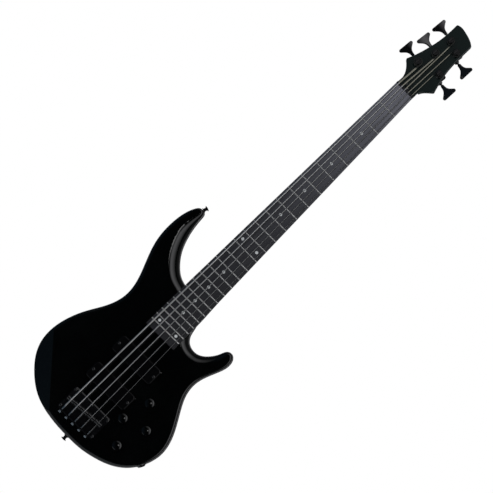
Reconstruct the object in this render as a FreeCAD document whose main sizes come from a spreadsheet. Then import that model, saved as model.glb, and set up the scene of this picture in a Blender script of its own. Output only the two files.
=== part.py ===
import FreeCAD, Part
import math
import os
import Sketcher
from types import SimpleNamespace
from FreeCAD import Placement, Rotation, Vector

# Five-string electric bass guitar with a bolt-on neck.
# X runs to the thin-string side, Y to the back, Z up the neck.
# The origin is on the centre line at the nut, on the glue plane of the fingerboard.

doc = FreeCAD.newDocument("bass_guitar")
sheet = doc.addObject("Spreadsheet::Sheet", "dims")

# Every size in millimetres, every angle in degrees.
SIZES = [
    # neck, fingerboard and frets
    ("scale_length", 863.6),
    ("nut_width", 43.0),
    ("board_overhang", 15.6),
    ("board_length", "=scale_length * 0.75 + board_overhang"),
    ("board_end_width", 74.3),
    ("board_thickness", 6.0),
    ("board_radius", 400.0),
    ("fret_crown_width", 2.6),
    ("fret_crown_height", 1.1),
    ("fret_tang_width", 0.6),
    ("fret_tang_depth", 1.8),
    ("fret_inset", 0.3),
    ("dot_radius", 3.0),
    ("dot_depth", 2.0),
    ("side_dot_radius", 1.2),
    ("side_dot_depth", 4.0),
    ("neck_depth", 15.0),
    ("neck_depth_gain", 2.6),
    ("heel_depth", 19.0),
    ("heel_length", 81.3),
    ("heel_start", "=board_length - heel_length"),
    ("heel_blend", 46.0),
    ("throat_length", 15.0),
    ("throat_half_width", 20.8),
    ("nut_thickness", 5.0),
    ("nut_rise", 2.9),
    ("nut_slot_lift", 1.7),
    ("truss_rod_radius", 3.0),
    ("truss_rod_sink", 6.5),
    ("truss_rod_margin", 75.3),
    ("truss_rod_length", "=board_length - truss_rod_margin"),
    ("truss_channel_width", 7.6),
    ("truss_channel_depth", 10.6),
    ("truss_access_length", 27.0),
    ("truss_nut_radius", 3.5),
    ("truss_nut_length", 8.0),
    ("truss_key_radius", 2.0),
    # headstock and its cover plate
    ("head_angle", 10.0),
    ("head_length", 161.0),
    ("head_half_width", 42.8),
    ("head_thickness", 14.0),
    ("head_face_drop", 1.0),
    ("head_corner_round", 3.0),
    ("head_edge_round", 1.5),
    ("cover_length", 36.0),
    ("cover_base_half_width", 10.5),
    ("cover_top_half_width", 5.0),
    ("cover_thickness", 2.0),
    ("cover_start", 3.0),
    ("cover_screw_inset", 4.0),
    # tuning machines
    ("tuner_lean", 5.0),
    ("post_radius", 5.2),
    ("post_cap_radius", 6.3),
    ("post_cap_height", 3.4),
    ("post_height", 18.5),
    ("post_journal_radius", 5.6),
    ("post_slot_width", 3.4),
    ("post_slot_depth", 6.5),
    ("post_pin_radius", 3.4),
    ("bushing_radius", 8.4),
    ("bushing_rim", 2.2),
    ("bushing_tube_radius", 6.9),
    ("bushing_depth", 9.0),
    ("worm_offset", 6.4),
    ("worm_sink", 5.6),
    ("gear_pitch_radius", 4.6),
    ("gear_addendum", 0.5),
    ("gear_slot_width", 1.06),
    ("gear_slot_depth", 1.3),
    ("gear_thickness", 4.4),
    ("worm_crest_radius", 2.3),
    ("worm_root_radius", 1.25),
    ("worm_crest_width", 0.35),
    ("worm_root_width", 0.67),
    ("worm_length", 9.0),
    ("worm_room", 0.35),
    ("key_shaft_radius", 2.2),
    ("key_shaft_tail", 9.0),
    ("key_reach", 43.5),
    ("key_start", 18.0),
    ("key_hub_half_width", 2.9),
    ("key_lobe_radius", 3.4),
    ("key_half_width", 16.0),
    ("key_thickness", 5.4),
    ("key_face_radius", 72.0),
    ("key_edge_round", 1.5),
    ("housing_front", 14.6),
    ("housing_rear", 11.5),
    ("housing_half_height", 9.4),
    ("housing_worm_side", 11.2),
    ("housing_depth", 11.0),
    ("housing_round", 2.4),
    ("housing_ear_radius", 4.2),
    ("housing_ear_reach", 11.5),
    ("housing_ear_thickness", 3.0),
    ("key_turn_b", -4.0),
    ("key_turn_e", 12.0),
    ("key_turn_a", 0.0),
    ("key_turn_d", 34.0),
    ("key_turn_g", 30.0),
    # strings
    ("gauge_b", 3.3),
    ("gauge_e", 2.67),
    ("gauge_a", 2.16),
    ("gauge_d", 1.65),
    ("gauge_g", 1.14),
    ("string_spacing_nut", 8.6),
    ("string_spacing_bridge", 17.15),
    ("string_saddle_height", 11.7),
    ("string_bend", 8.0),
    ("string_seat_gap", 0.12),
    ("wrap_gap", 0.55),
    ("wrap_post_gap", 0.35),
    ("ball_radius", 2.3),
    ("ball_length", 5.0),
    ("ball_gap", 0.4),
    # body
    ("body_length", 490.4),
    ("body_half_width", 159.0),
    ("tail_margin", 60.5),
    ("body_thickness", 40.0),
    ("body_setback", 3.0),
    ("edge_round", "=body_half_width * 0.044"),
    ("treble_round", "=body_half_width * 0.026"),
    ("horn_tip_round", "=body_half_width * 0.0252"),
    ("short_horn_round", "=body_half_width * 0.0377"),
    ("upper_bevel", "=body_half_width * 0.1352"),
    ("lower_bevel", "=body_half_width * 0.1132"),
    ("short_horn_bevel", "=body_half_width * 0.0755"),
    ("heel_corner_round", "=body_half_width * 0.0377"),
    ("back_round", "=body_half_width * 0.0252"),
    ("arm_slope", 17.0),
    ("arm_cut_size", 220.0),
    ("pocket_gap", 0.15),
    ("neck_screw_spread", 38.0),
    ("neck_screw_row", 42.0),
    ("neck_screw_margin", 15.0),
    ("neck_screw_radius", 2.5),
    ("neck_screw_length", 42.0),
    ("neck_screw_head_radius", 4.6),
    ("neck_screw_head_height", 2.6),
    ("ferrule_radius", 8.0),
    ("ferrule_height", 5.0),
    ("ferrule_sink", 0.6),
    # bridge
    ("bridge_width", 92.0),
    ("bridge_front", 20.6),
    ("bridge_rear", 33.1),
    ("bridge_plate_thickness", 2.5),
    ("bridge_flange_width", 79.0),
    ("bridge_flange_height", 13.5),
    ("bridge_flange_thickness", 3.0),
    ("bridge_corner_round", 3.0),
    ("bridge_hole_radius", 2.0),
    ("bridge_hole_height", 9.5),
    ("bridge_bevel_length", 2.0),
    ("bridge_bevel_drop", 0.75),
    ("screw_axis_height", 3.4),
    ("saddle_width", 15.8),
    ("saddle_length", 13.0),
    ("saddle_foot_gap", 0.8),
    ("saddle_block_height", 8.4),
    ("saddle_crown_radius", 4.6),
    ("saddle_groove", 0.9),
    ("saddle_seat_gap", 0.4),
    ("saddle_setback_step", 1.1),
    ("saddle_setback_start", 0.6),
    ("grub_radius", 1.5),
    ("grub_spread", 10.6),
    ("grub_stand", 1.0),
    ("grub_key_radius", 0.75),
    ("intonation_radius", 1.5),
    ("intonation_length", 36.0),
    ("intonation_head_radius", 2.4),
    ("intonation_head_height", 2.2),
    ("intonation_slot", 0.8),
    ("bridge_screw_radius", 1.9),
    ("bridge_screw_head_radius", 2.9),
    ("bridge_screw_head_height", 1.9),
    ("bridge_screw_length", 22.0),
    ("bridge_screw_side", 42.6),
    ("bridge_screw_front_inset", 5.0),
    ("bridge_screw_rear_inset", 7.0),
    # pickups
    ("pickup_length", 102.0),
    ("pickup_width", 36.0),
    ("pickup_height", 20.0),
    ("pickup_rise", 8.0),
    ("pickup_wall", 2.0),
    ("pickup_end_wall", 10.0),
    ("pickup_corner_round", 6.0),
    ("pickup_edge_round", 1.8),
    ("pickup_gap", 0.6),
    ("bridge_pickup_distance", 67.0),
    ("neck_pickup_distance", 137.0),
    ("pickup_screw_inset", 5.0),
    ("coil_length", 79.0),
    ("coil_width", 14.0),
    ("coil_height", 11.0),
    ("coil_spacing", 15.4),
    ("magnet_length", 66.0),
    ("magnet_width", 4.0),
    ("magnet_height", 13.0),
    ("pickup_screw_radius", 1.5),
    ("pickup_screw_head_radius", 2.7),
    ("pickup_screw_head_height", 1.8),
    ("pickup_screw_length", 30.0),
    # controls and output
    ("knob_radius", 9.6),
    ("knob_top_radius", 8.9),
    ("knob_height", 16.5),
    ("knob_round", 1.0),
    ("knob_dome", 1.1),
    ("knob_gap", 0.6),
    ("knob_recess_radius", 7.2),
    ("knob_recess_depth", 5.0),
    ("knob_skin", 2.6),
    ("shaft_radius", 3.0),
    ("pot_radius", 8.2),
    ("pot_height", 8.5),
    ("pot_bush_radius", 3.5),
    ("pot_bush_length", 10.5),
    ("pot_lug_width", 9.6),
    ("pot_lug_length", 2.8),
    ("pot_lug_thickness", 1.6),
    ("pot_nut_radius", 5.4),
    ("pot_nut_height", 2.2),
    ("washer_radius", 6.4),
    ("washer_thickness", 0.6),
    ("cavity_skin", 6.0),
    ("cavity_margin", 12.5),
    ("lid_margin", 18.5),
    ("lid_thickness", 2.5),
    ("lid_gap", 0.2),
    ("jack_depth", 36.0),
    ("jack_radius", 5.9),
    ("jack_bore_radius", 3.25),
    ("jack_bore_depth", 29.0),
    ("jack_thread_radius", 4.7),
    ("jack_thread_stand", 4.6),
    ("jack_plate_radius", 9.5),
    ("jack_plate_thickness", 2.0),
    ("jack_plate_sink", 1.0),
    ("jack_nut_height", 2.2),
    ("wire_radius", 0.8),
    ("wire_bend", 4.0),
    ("wire_channel_radius", 3.0),
    ("wire_floor_gap", 2.2),
    ("wire_shift", 9.0),
    ("wire_pitch", 1.0),
    ("wire_room", 8.0),
    ("wire_end_step", 4.0),
    # small screws and strap buttons
    ("small_screw_radius", 1.2),
    ("small_screw_head_radius", 2.3),
    ("small_screw_head_height", 1.4),
    ("small_screw_length", 11.0),
    ("button_cap_radius", 5.5),
    ("button_cap_height", 2.6),
    ("button_waist_radius", 3.2),
    ("button_base_radius", 4.8),
    ("button_base_height", 2.0),
    ("button_height", 9.0),
    ("strap_screw_radius", 1.8),
    ("strap_screw_head_radius", 3.3),
    ("strap_screw_head_height", 2.2),
    ("strap_screw_length", 30.0),
    ("horn_button_lean", 17.0),
    # shared fits
    ("fit_gap", 0.05),
    ("overrun", 10.0),
]
for row, (alias, number) in enumerate(SIZES, start=1):
    sheet.set("A%d" % row, alias)
    sheet.set("B%d" % row, str(number))
    sheet.setAlias("B%d" % row, alias)
doc.recompute()
size = SimpleNamespace(**{alias: float(sheet.get(alias)) for alias, number in SIZES})

STRINGS = ["b", "e", "a", "d", "g"]
nodes = []


def keep(thing, label):
    """Name a finished sub-part and list it for hand-over."""
    thing.Label = label
    nodes.append(thing)
    return thing


def feature(name, shape, place=None):
    """A document object that holds a shape built in code."""
    thing = doc.addObject("Part::Feature", name)
    thing.Shape = shape
    if place:
        thing.Placement = place
    return thing


def box(name, sizes, corner):
    """Rectangular block whose sides and lower corner are sheet formulas."""
    block = doc.addObject("Part::Box", name)
    for prop, formula in zip(("Length", "Width", "Height"), sizes):
        block.setExpression(prop, formula)
    for axis, formula in zip("xyz", corner):
        block.setExpression("Placement.Base." + axis, formula)
    return block


def rod(name, radius, length, base, direction):
    """Cylinder with sheet formulas for radius and length, from a base point along a direction."""
    bar = doc.addObject("Part::Cylinder", name)
    bar.setExpression("Radius", radius)
    bar.setExpression("Height", length)
    bar.Placement = Placement(base, Rotation(Vector(0, 0, 1), direction))
    return bar


def origin_plane(body, role):
    """One of a body's own origin planes."""
    return [item for item in body.Origin.OriginFeatures if item.Role == role][0]


def outline_sketch(body, name, corners):
    """Closed polygon on a body's XZ plane with both coordinates of every corner bound to formulas."""
    sketch = body.newObject("Sketcher::SketchObject", name)
    sketch.AttachmentSupport = (origin_plane(body, "XZ_Plane"), [""])
    sketch.MapMode = "FlatFace"
    points = []
    for across, along in corners:
        points.append(Vector(float(body.evalExpression(across)), float(body.evalExpression(along)), 0))
    count = len(points)
    for index in range(count):
        sketch.addGeometry(Part.LineSegment(points[index], points[(index + 1) % count]), False)
    for index in range(count):
        sketch.addConstraint(Sketcher.Constraint("Coincident", index, 2, (index + 1) % count, 1))
    for index, (across, along) in enumerate(corners):
        if across == "0":
            sketch.addConstraint(Sketcher.Constraint("PointOnObject", index, 1, -2))
        else:
            spot = sketch.addConstraint(
                Sketcher.Constraint("DistanceX", -1, 1, index, 1, points[index].x))
            sketch.setExpression("Constraints[%d]" % spot, across)
        if along == "0":
            sketch.addConstraint(Sketcher.Constraint("PointOnObject", index, 1, -1))
        else:
            spot = sketch.addConstraint(
                Sketcher.Constraint("DistanceY", -1, 1, index, 1, points[index].y))
            sketch.setExpression("Constraints[%d]" % spot, along)
    return sketch


def lathe(name, corners):
    """Turned piece: a half profile of (radius, height) formulas revolved about its own Z."""
    body = doc.addObject("PartDesign::Body", name)
    sketch = outline_sketch(body, name + "_profile", corners)
    turn = body.newObject("PartDesign::Revolution", name + "_turn")
    turn.Profile = sketch
    turn.ReferenceAxis = (sketch, ["V_Axis"])
    turn.Angle = 360
    doc.recompute()
    return body


def plate(name, corners, depth):
    """Flat piece: an outline in X and Z, padded from the outline plane towards the front."""
    body = doc.addObject("PartDesign::Body", name)
    sketch = outline_sketch(body, name + "_outline", corners)
    pad = body.newObject("PartDesign::Pad", name + "_pad")
    pad.Profile = sketch
    pad.setExpression("Length", depth)
    doc.recompute()
    return body


def cut(name, base, tools):
    """Base with all tools taken away in one step."""
    tool = tools[0]
    if len(tools) > 1:
        tool = doc.addObject("Part::MultiFuse", name + "_tools")
        tool.Shapes = tools
    result = doc.addObject("Part::Cut", name)
    result.Base = base
    result.Tool = tool
    return result


def fuse(name, pieces):
    """Several shapes joined in one solid."""
    result = doc.addObject("Part::MultiFuse", name)
    result.Shapes = pieces
    return result


def copies(pattern, places):
    """Separate solids of one pattern at several places."""
    solids = []
    for place in places:
        solid = pattern.copy()
        solid.Placement = place.multiply(pattern.Placement)
        solids.append(solid)
    return Part.makeCompound(solids)


def facing(base, direction):
    """Placement that puts a turned piece's own Z along a direction."""
    return Placement(base, Rotation(Vector(0, 0, 1), direction))


def screw_pattern(name, radius, length, head_radius, head_height):
    """Countersunk screw along +Z with the flat of its head at zero and its shank going down."""
    return lathe(name, [
        ("0", "0"),
        ("dims." + head_radius, "0"),
        ("dims.%s" % radius, "-dims." + head_height),
        ("dims.%s" % radius, "-dims.%s + dims.%s" % (length, radius)),
        ("0", "-dims." + length),
    ])


def biarc(start, start_way, end, end_way):
    """Two arcs that join two points along the directions given at them."""
    gap = end - start
    total = start_way + end_way
    spread = 2 * (1 - start_way.dot(end_way))
    reach = gap.dot(total)
    span = (-reach + math.sqrt(reach * reach + spread * gap.dot(gap))) / spread
    middle = (start + start_way * span + end - end_way * span) * 0.5
    return [bend(start, start_way, middle), bend(end, end_way * -1, middle, True)]


def bend(start, way, end, backwards=False):
    """Arc that leaves a point along a direction and ends at another point."""
    chord = end - start
    side = way - chord * (way.dot(chord) / chord.dot(chord))
    turn = math.atan2(side.Length, way.dot(chord) / chord.Length)
    side.normalize()
    crown = start + chord * 0.5 + side * (chord.Length * 0.5 * math.tan(turn * 0.5))
    if backwards:
        return Part.Arc(end, crown, start).toShape()
    return Part.Arc(start, crown, end).toShape()


def route(points, radius):
    """Straight runs through points, with an arc at every corner; also gives the last free end."""
    edges = []
    here = points[0]
    for before, corner, after in zip(points, points[1:], points[2:]):
        inward = (corner - before).normalize()
        outward = (after - corner).normalize()
        turn = math.acos(max(-1, min(1, inward.dot(outward))))
        reach = radius * math.tan(turn * 0.5)
        first = corner - inward * reach
        last = corner + outward * reach
        edges.append(Part.LineSegment(here, first).toShape())
        edges.append(bend(first, inward, last))
        here = last
    return edges, here


def tube(edges, radius):
    """Round bar swept along joined edges."""
    spine = Part.Wire(edges)
    start = spine.Edges[0].valueAt(spine.Edges[0].FirstParameter)
    way = spine.Edges[0].tangentAt(spine.Edges[0].FirstParameter)
    profile = Part.Wire(Part.makeCircle(radius, start, way))
    return spine.makePipeShell([profile], True, False)


def half_width(along):
    """Half the fingerboard width at a distance from the nut."""
    return (size.nut_width + (size.board_end_width - size.nut_width) * along / size.board_length) / 2


def camber(across):
    """How far the cambered playing surface falls away at a distance from the centre line."""
    return size.board_radius - math.sqrt(size.board_radius ** 2 - across ** 2)


def fret_distance(number):
    """Distance from the nut to a fret by the twelve-tone rule."""
    return size.scale_length * (1 - 2 ** (-number / 12))


# Fingerboard: a long tapered board with a cambered face, slotted for frets and drilled for dots.
board_blank = plate("board_blank", [
    ("-dims.nut_width / 2", "0"),
    ("dims.nut_width / 2", "0"),
    ("dims.board_end_width / 2", "-dims.board_length"),
    ("-dims.board_end_width / 2", "-dims.board_length"),
], "dims.board_thickness")
camber_centre = Vector(0, size.board_radius - size.board_thickness, 0)
camber_bar = rod("camber_bar", "dims.board_radius", "dims.board_length + 2 * dims.overrun",
                 camber_centre - Vector(0, 0, size.board_length + size.overrun), Vector(0, 0, 1))
board_top = doc.addObject("Part::Common", "board_top")
board_top.Base = board_blank
board_top.Tool = camber_bar
doc.recompute()


def bent_bar(profile, reach):
    """Fret section swept across the camber, as far as the reach on both sides of the centre line."""
    angle = math.degrees(math.asin(reach / size.board_radius))
    section = Part.Face(profile)
    section.rotate(camber_centre, Vector(0, 0, 1), -angle)
    return section.revolve(camber_centre, Vector(0, 0, 1), 2 * angle)


def section_point(height, along):
    """Point above the playing surface on the centre line, at a distance from the nut."""
    return Vector(0, -size.board_thickness - height, -along)


fret_bars = []
slot_bars = []
for number in range(1, 25):
    along = fret_distance(number)
    crown_half = size.fret_crown_width / 2
    tang_half = size.fret_tang_width / 2
    crown = Part.Arc(section_point(0, along - crown_half), section_point(size.fret_crown_height, along),
                     section_point(0, along + crown_half)).toShape()
    tang = Part.makePolygon([
        section_point(0, along + crown_half),
        section_point(0, along + tang_half),
        section_point(-size.fret_tang_depth, along + tang_half),
        section_point(-size.fret_tang_depth, along - tang_half),
        section_point(0, along - tang_half),
        section_point(0, along - crown_half),
    ])
    fret_bars.append(bent_bar(Part.Wire([crown] + tang.Edges), half_width(along) - size.fret_inset))
    slot_half = tang_half + size.fit_gap
    slot_floor = -size.fret_tang_depth - size.fit_gap
    slot = Part.makePolygon([
        section_point(size.fret_crown_height, along - slot_half),
        section_point(size.fret_crown_height, along + slot_half),
        section_point(slot_floor, along + slot_half),
        section_point(slot_floor, along - slot_half),
        section_point(size.fret_crown_height, along - slot_half),
    ])
    slot_bars.append(bent_bar(slot, half_width(along) + size.overrun))
keep(feature("frets", Part.makeCompound(fret_bars)), "frets")

# Position dots: single dots, pairs at the octaves, and small ones on the thick-string edge.
SINGLE_DOTS = [3, 5, 7, 9, 15, 17, 19, 21]
DOUBLE_DOTS = [12, 24]
DOUBLE_DOT_SHARE = 0.6
SIDE_PAIR_STEPS = 2


def dot_pins(spare):
    """Pins for the dots on the face and on the edge, larger by a spare gap all round."""
    pins = []
    for number in SINGLE_DOTS + DOUBLE_DOTS:
        along = (fret_distance(number - 1) + fret_distance(number)) / 2
        edge = half_width(along)
        sides = [0]
        shifts = [0]
        if number in DOUBLE_DOTS:
            sides = [-edge * DOUBLE_DOT_SHARE, edge * DOUBLE_DOT_SHARE]
            shifts = [-SIDE_PAIR_STEPS * size.side_dot_radius, SIDE_PAIR_STEPS * size.side_dot_radius]
        for across in sides:
            floor = size.dot_depth - size.board_thickness + camber(across) + spare
            pins.append(Part.makeCylinder(size.dot_radius + spare, size.dot_depth + size.overrun,
                                          Vector(across, floor, -along), Vector(0, -1, 0)))
        for shift in shifts:
            start = Vector(size.side_dot_depth + spare - edge, -size.board_thickness / 2, shift - along)
            pins.append(Part.makeCylinder(size.side_dot_radius + spare, size.side_dot_depth + size.overrun,
                                          start, Vector(-1, 0, 0)))
    return pins


dots = [pin.common(board_top.Shape).Solids[0] for pin in dot_pins(0)]
keep(feature("position_dots", Part.makeCompound(dots)), "position_dots")
board_holes = feature("board_holes", Part.makeCompound(slot_bars + dot_pins(size.fit_gap)))
fingerboard = keep(cut("fingerboard", board_top, [board_holes]), "fingerboard")

# Headstock frame: its face starts behind the nut and leans back.
head_place = Placement(Vector(0, size.head_face_drop, size.nut_thickness),
                       Rotation(Vector(1, 0, 0), -size.head_angle))

# Outline of the headstock as shares of its length from the nut and of its half width.
THROAT_BASS_SHARES = [(0.069, -0.495), (0.130, -0.560), (0.200, -0.727), (0.264, -0.985)]
EDGE_BASS_SHARES = [(0.264, -0.985), (0.361, -0.832), (0.507, -0.668), (0.714, -0.509), (0.836, -0.468),
                    (0.985, -0.462)]
TIP_SHARES = [(0.985, -0.462), (1.002, -0.250), (0.990, 0.077), (0.957, 0.468), (0.915, 0.700)]
EDGE_TREBLE_SHARES = [(0.915, 0.700), (0.690, 0.695), (0.507, 0.736), (0.370, 0.832), (0.209, 1.003)]
THROAT_TREBLE_SHARES = [(0.209, 1.003), (0.160, 0.800), (0.109, 0.623), (0.069, 0.545)]


def head_point(along, across):
    """Point on the headstock face from shares of its length and half width."""
    return Vector(across * size.head_half_width, 0, along * size.head_length)


head_edges = []
for shares in (THROAT_BASS_SHARES, EDGE_BASS_SHARES, TIP_SHARES, EDGE_TREBLE_SHARES, THROAT_TREBLE_SHARES):
    run = Part.BSplineCurve()
    run.interpolate([head_point(along, across) for along, across in shares])
    head_edges.append(run.toShape())
head_edges.append(Part.LineSegment(head_point(*THROAT_TREBLE_SHARES[-1]),
                                   head_point(*THROAT_BASS_SHARES[0])).toShape())
head_slab = Part.Face(Part.Wire(head_edges)).extrude(Vector(0, size.head_thickness, 0))
corner_spots = [head_point(*shares[0]) for shares in
                (EDGE_BASS_SHARES, TIP_SHARES, EDGE_TREBLE_SHARES, THROAT_TREBLE_SHARES)]
corner_edges = []
for edge in head_slab.Edges:
    ends = [vertex.Point for vertex in edge.Vertexes]
    upright = abs(ends[0].y - ends[-1].y) > size.head_thickness / 2
    foot = Vector(ends[0].x, 0, ends[0].z)
    if upright and min((foot - spot).Length for spot in corner_spots) < size.fit_gap:
        corner_edges.append(edge)
head_slab = head_slab.makeFillet(size.head_corner_round, corner_edges)
rim_edges = []
for edge in head_slab.Edges:
    ends = [vertex.Point for vertex in edge.Vertexes]
    flat = abs(ends[0].y - ends[-1].y) < size.fit_gap
    beyond = min(end.z for end in ends) < size.throat_length + size.fit_gap
    if flat and not (beyond and max(end.z for end in ends) < size.throat_length * 2):
        rim_edges.append(edge)
head_slab = head_slab.makeFillet(size.head_edge_round, rim_edges)
head_slab.Placement = head_place

# Neck section: flat top, side lines and round corners; shares say how much of each side is round.
CURVE_PULL = 0.5523
ROUND_NECK = (0.90, 0.93)
ROUND_HEEL = (0.10, 0.20)
ROUND_NUT = (0.70, 0.75)


def neck_section(half, depth, rounding, place):
    """Closed section wire on a placed plane, with its flat side at the front."""
    corner_across = half * rounding[0]
    corner_depth = depth * rounding[1]
    edges = []
    spots = [Vector(-half, 0, 0), Vector(-half, depth - corner_depth, 0),
             Vector(corner_across - half, depth, 0), Vector(half - corner_across, depth, 0),
             Vector(half, depth - corner_depth, 0), Vector(half, 0, 0)]
    pulls = [(Vector(0, corner_depth * CURVE_PULL, 0), Vector(-corner_across * CURVE_PULL, 0, 0)),
             (Vector(corner_across * CURVE_PULL, 0, 0), Vector(0, corner_depth * CURVE_PULL, 0))]
    edges.append(Part.LineSegment(spots[0], spots[1]).toShape())
    first = Part.BezierCurve()
    first.setPoles([spots[1], spots[1] + pulls[0][0], spots[2] + pulls[0][1], spots[2]])
    edges.append(first.toShape())
    edges.append(Part.LineSegment(spots[2], spots[3]).toShape())
    second = Part.BezierCurve()
    second.setPoles([spots[3], spots[3] + pulls[1][0], spots[4] + pulls[1][1], spots[4]])
    edges.append(second.toShape())
    edges.append(Part.LineSegment(spots[4], spots[5]).toShape())
    edges.append(Part.LineSegment(spots[5], spots[0]).toShape())
    wire = Part.Wire(edges)
    wire.Placement = place
    return wire


def level(along):
    """Plane across the neck at a distance from the nut."""
    return Placement(Vector(0, 0, -along), Rotation())


blend_start = size.heel_start - size.heel_blend
neck_back = size.neck_depth + size.neck_depth_gain
throat = neck_section(size.throat_half_width, size.head_thickness, ROUND_HEEL,
                      head_place.multiply(Placement(Vector(0, 0, size.throat_length), Rotation())))
nut_top = neck_section(half_width(0), size.neck_depth, ROUND_NUT, level(-size.nut_thickness))
ledge_depth = size.neck_depth - size.head_face_drop
ROUND_LEDGE = (ROUND_NUT[0], ROUND_NUT[1] * size.neck_depth / ledge_depth)
ledge = neck_section(half_width(0), ledge_depth, ROUND_LEDGE,
                     Placement(Vector(0, size.head_face_drop, size.nut_thickness), Rotation()))
nut_low = neck_section(half_width(0), size.neck_depth, ROUND_NECK, level(size.throat_length))
shaft_end = neck_section(half_width(blend_start), neck_back, ROUND_NECK, level(blend_start))
heel_top = neck_section(half_width(size.heel_start), size.heel_depth, ROUND_HEEL, level(size.heel_start))
heel_end = neck_section(half_width(size.board_length), size.heel_depth, ROUND_HEEL, level(size.board_length))
neck_runs = []
for upper, lower in ((throat, ledge), (nut_top, nut_low), (nut_low, shaft_end), (shaft_end, heel_top),
                     (heel_top, heel_end)):
    neck_runs.append(Part.makeLoft([upper, lower], True, True))
neck_blank = feature("neck_blank", head_slab.multiFuse(neck_runs).removeSplitter())
truss_channel = box("truss_channel",
                    ("dims.truss_channel_width", "dims.truss_channel_depth + dims.overrun",
                     "dims.truss_rod_length + dims.truss_access_length"),
                    ("-dims.truss_channel_width / 2", "-dims.overrun", "-dims.truss_rod_length"))

# Places of the five tuning posts on the headstock face, in shares like its outline.
POST_SHARES = [(0.322, -0.481), (0.547, -0.222), (0.784, -0.128), (0.727, 0.429), (0.404, 0.572)]
WINDING_SIDE = [1, 1, 1, -1, -1]
tuner_places = []
for (along, across), side in zip(POST_SHARES, WINDING_SIDE):
    heading = size.tuner_lean + (180 if side > 0 else 0)
    spot = Placement(head_point(along, across), Rotation(Vector(0, 1, 0), heading))
    tuner_places.append(head_place.multiply(spot))
front = Rotation(Vector(0, 0, 1), Vector(0, -1, 0))
tuner_fronts = [place.multiply(Placement(Vector(), front)) for place in tuner_places]

# Small countersunk wood screws, all alike: tuner housings, truss rod cover, control lid.
small_screw = screw_pattern("small_screw_pattern", "small_screw_radius", "small_screw_length",
                            "small_screw_head_radius", "small_screw_head_height")
small_screw_places = []
back = Rotation(Vector(0, 0, 1), Vector(0, 1, 0))
for place in tuner_places:
    spot = Vector(0, size.head_thickness + size.housing_ear_thickness, size.housing_ear_reach)
    small_screw_places.append(place.multiply(Placement(spot, back)))
cover_screw_spots = [
    Vector(0, -size.cover_thickness, size.cover_start + size.cover_length - size.cover_screw_inset),
    Vector(size.cover_base_half_width - size.cover_screw_inset, -size.cover_thickness,
           size.cover_start + size.cover_screw_inset),
    Vector(size.cover_screw_inset - size.cover_base_half_width, -size.cover_thickness,
           size.cover_start + size.cover_screw_inset),
]
for spot in cover_screw_spots:
    small_screw_places.append(head_place.multiply(Placement(spot, front)))


def screw_holes(places, radius, length):
    """Straight holes for screws whose own Z points out of the wood."""
    holes = []
    for place in places:
        way = place.Rotation.multVec(Vector(0, 0, -1))
        holes.append(Part.makeCylinder(radius + size.fit_gap, length + size.fit_gap, place.Base, way))
    return holes


head_holes = screw_holes(small_screw_places, size.small_screw_radius, size.small_screw_length)
for place in tuner_fronts:
    head_holes.append(Part.makeCylinder(size.bushing_tube_radius + size.fit_gap,
                                        size.head_thickness + 2 * size.overrun,
                                        place.multVec(Vector(0, 0, size.overrun)),
                                        place.Rotation.multVec(Vector(0, 0, -1))))

# Four neck screws go in from the back of the body through ferrules.
tail = -size.scale_length - size.tail_margin
back_face = size.body_setback + size.body_thickness
neck_screw = screw_pattern("neck_screw_pattern", "neck_screw_radius", "neck_screw_length",
                           "neck_screw_head_radius", "neck_screw_head_height")
neck_screw_places = []
for across in (-size.neck_screw_spread / 2, size.neck_screw_spread / 2):
    for along in (size.neck_screw_margin, size.neck_screw_margin + size.neck_screw_row):
        spot = Vector(across, back_face - size.ferrule_sink, along - size.board_length)
        neck_screw_places.append(Placement(spot, back))
neck_screw_holes = screw_holes(neck_screw_places, size.neck_screw_radius, size.neck_screw_length)
keep(feature("neck_screws", copies(neck_screw.Shape, neck_screw_places)), "neck_screws")
ferrule = lathe("ferrule_pattern", [
    ("dims.neck_screw_radius + dims.fit_gap", "-dims.ferrule_height"),
    ("dims.ferrule_radius", "-dims.ferrule_height"),
    ("dims.ferrule_radius", "0"),
    ("dims.neck_screw_head_radius + dims.fit_gap", "0"),
    ("dims.neck_screw_radius + dims.fit_gap", "-dims.neck_screw_head_height"),
])
keep(feature("neck_ferrules", copies(ferrule.Shape, neck_screw_places)), "neck_ferrules")
neck_holes = feature("neck_holes", Part.makeCompound(head_holes + neck_screw_holes))
neck = keep(cut("neck", neck_blank, [truss_channel, neck_holes]), "neck")

# Truss rod: a steel rod under the fingerboard with its adjusting nut behind the string nut.
rod_base = Vector(0, size.truss_rod_sink, size.fit_gap - size.truss_rod_length)
truss_bar = rod("truss_bar", "dims.truss_rod_radius", "dims.truss_rod_length + dims.nut_thickness",
                rod_base, Vector(0, 0, 1))
truss_nut = rod("truss_nut", "dims.truss_nut_radius", "dims.truss_nut_length",
                Vector(0, size.truss_rod_sink, size.nut_thickness), Vector(0, 0, 1))
truss_socket = rod("truss_socket", "dims.truss_key_radius", "dims.truss_nut_length",
                   Vector(0, size.truss_rod_sink, size.nut_thickness + size.truss_nut_length / 2),
                   Vector(0, 0, 1))
keep(cut("truss_rod", fuse("truss_rod_whole", [truss_bar, truss_nut]), [truss_socket]), "truss_rod")
truss_cover = plate("truss_cover_plate", [
    ("-dims.cover_base_half_width", "dims.cover_start"),
    ("dims.cover_base_half_width", "dims.cover_start"),
    ("dims.cover_top_half_width", "dims.cover_start + dims.cover_length"),
    ("-dims.cover_top_half_width", "dims.cover_start + dims.cover_length"),
], "dims.cover_thickness")
truss_cover.Placement = head_place
countersinks = []
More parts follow.
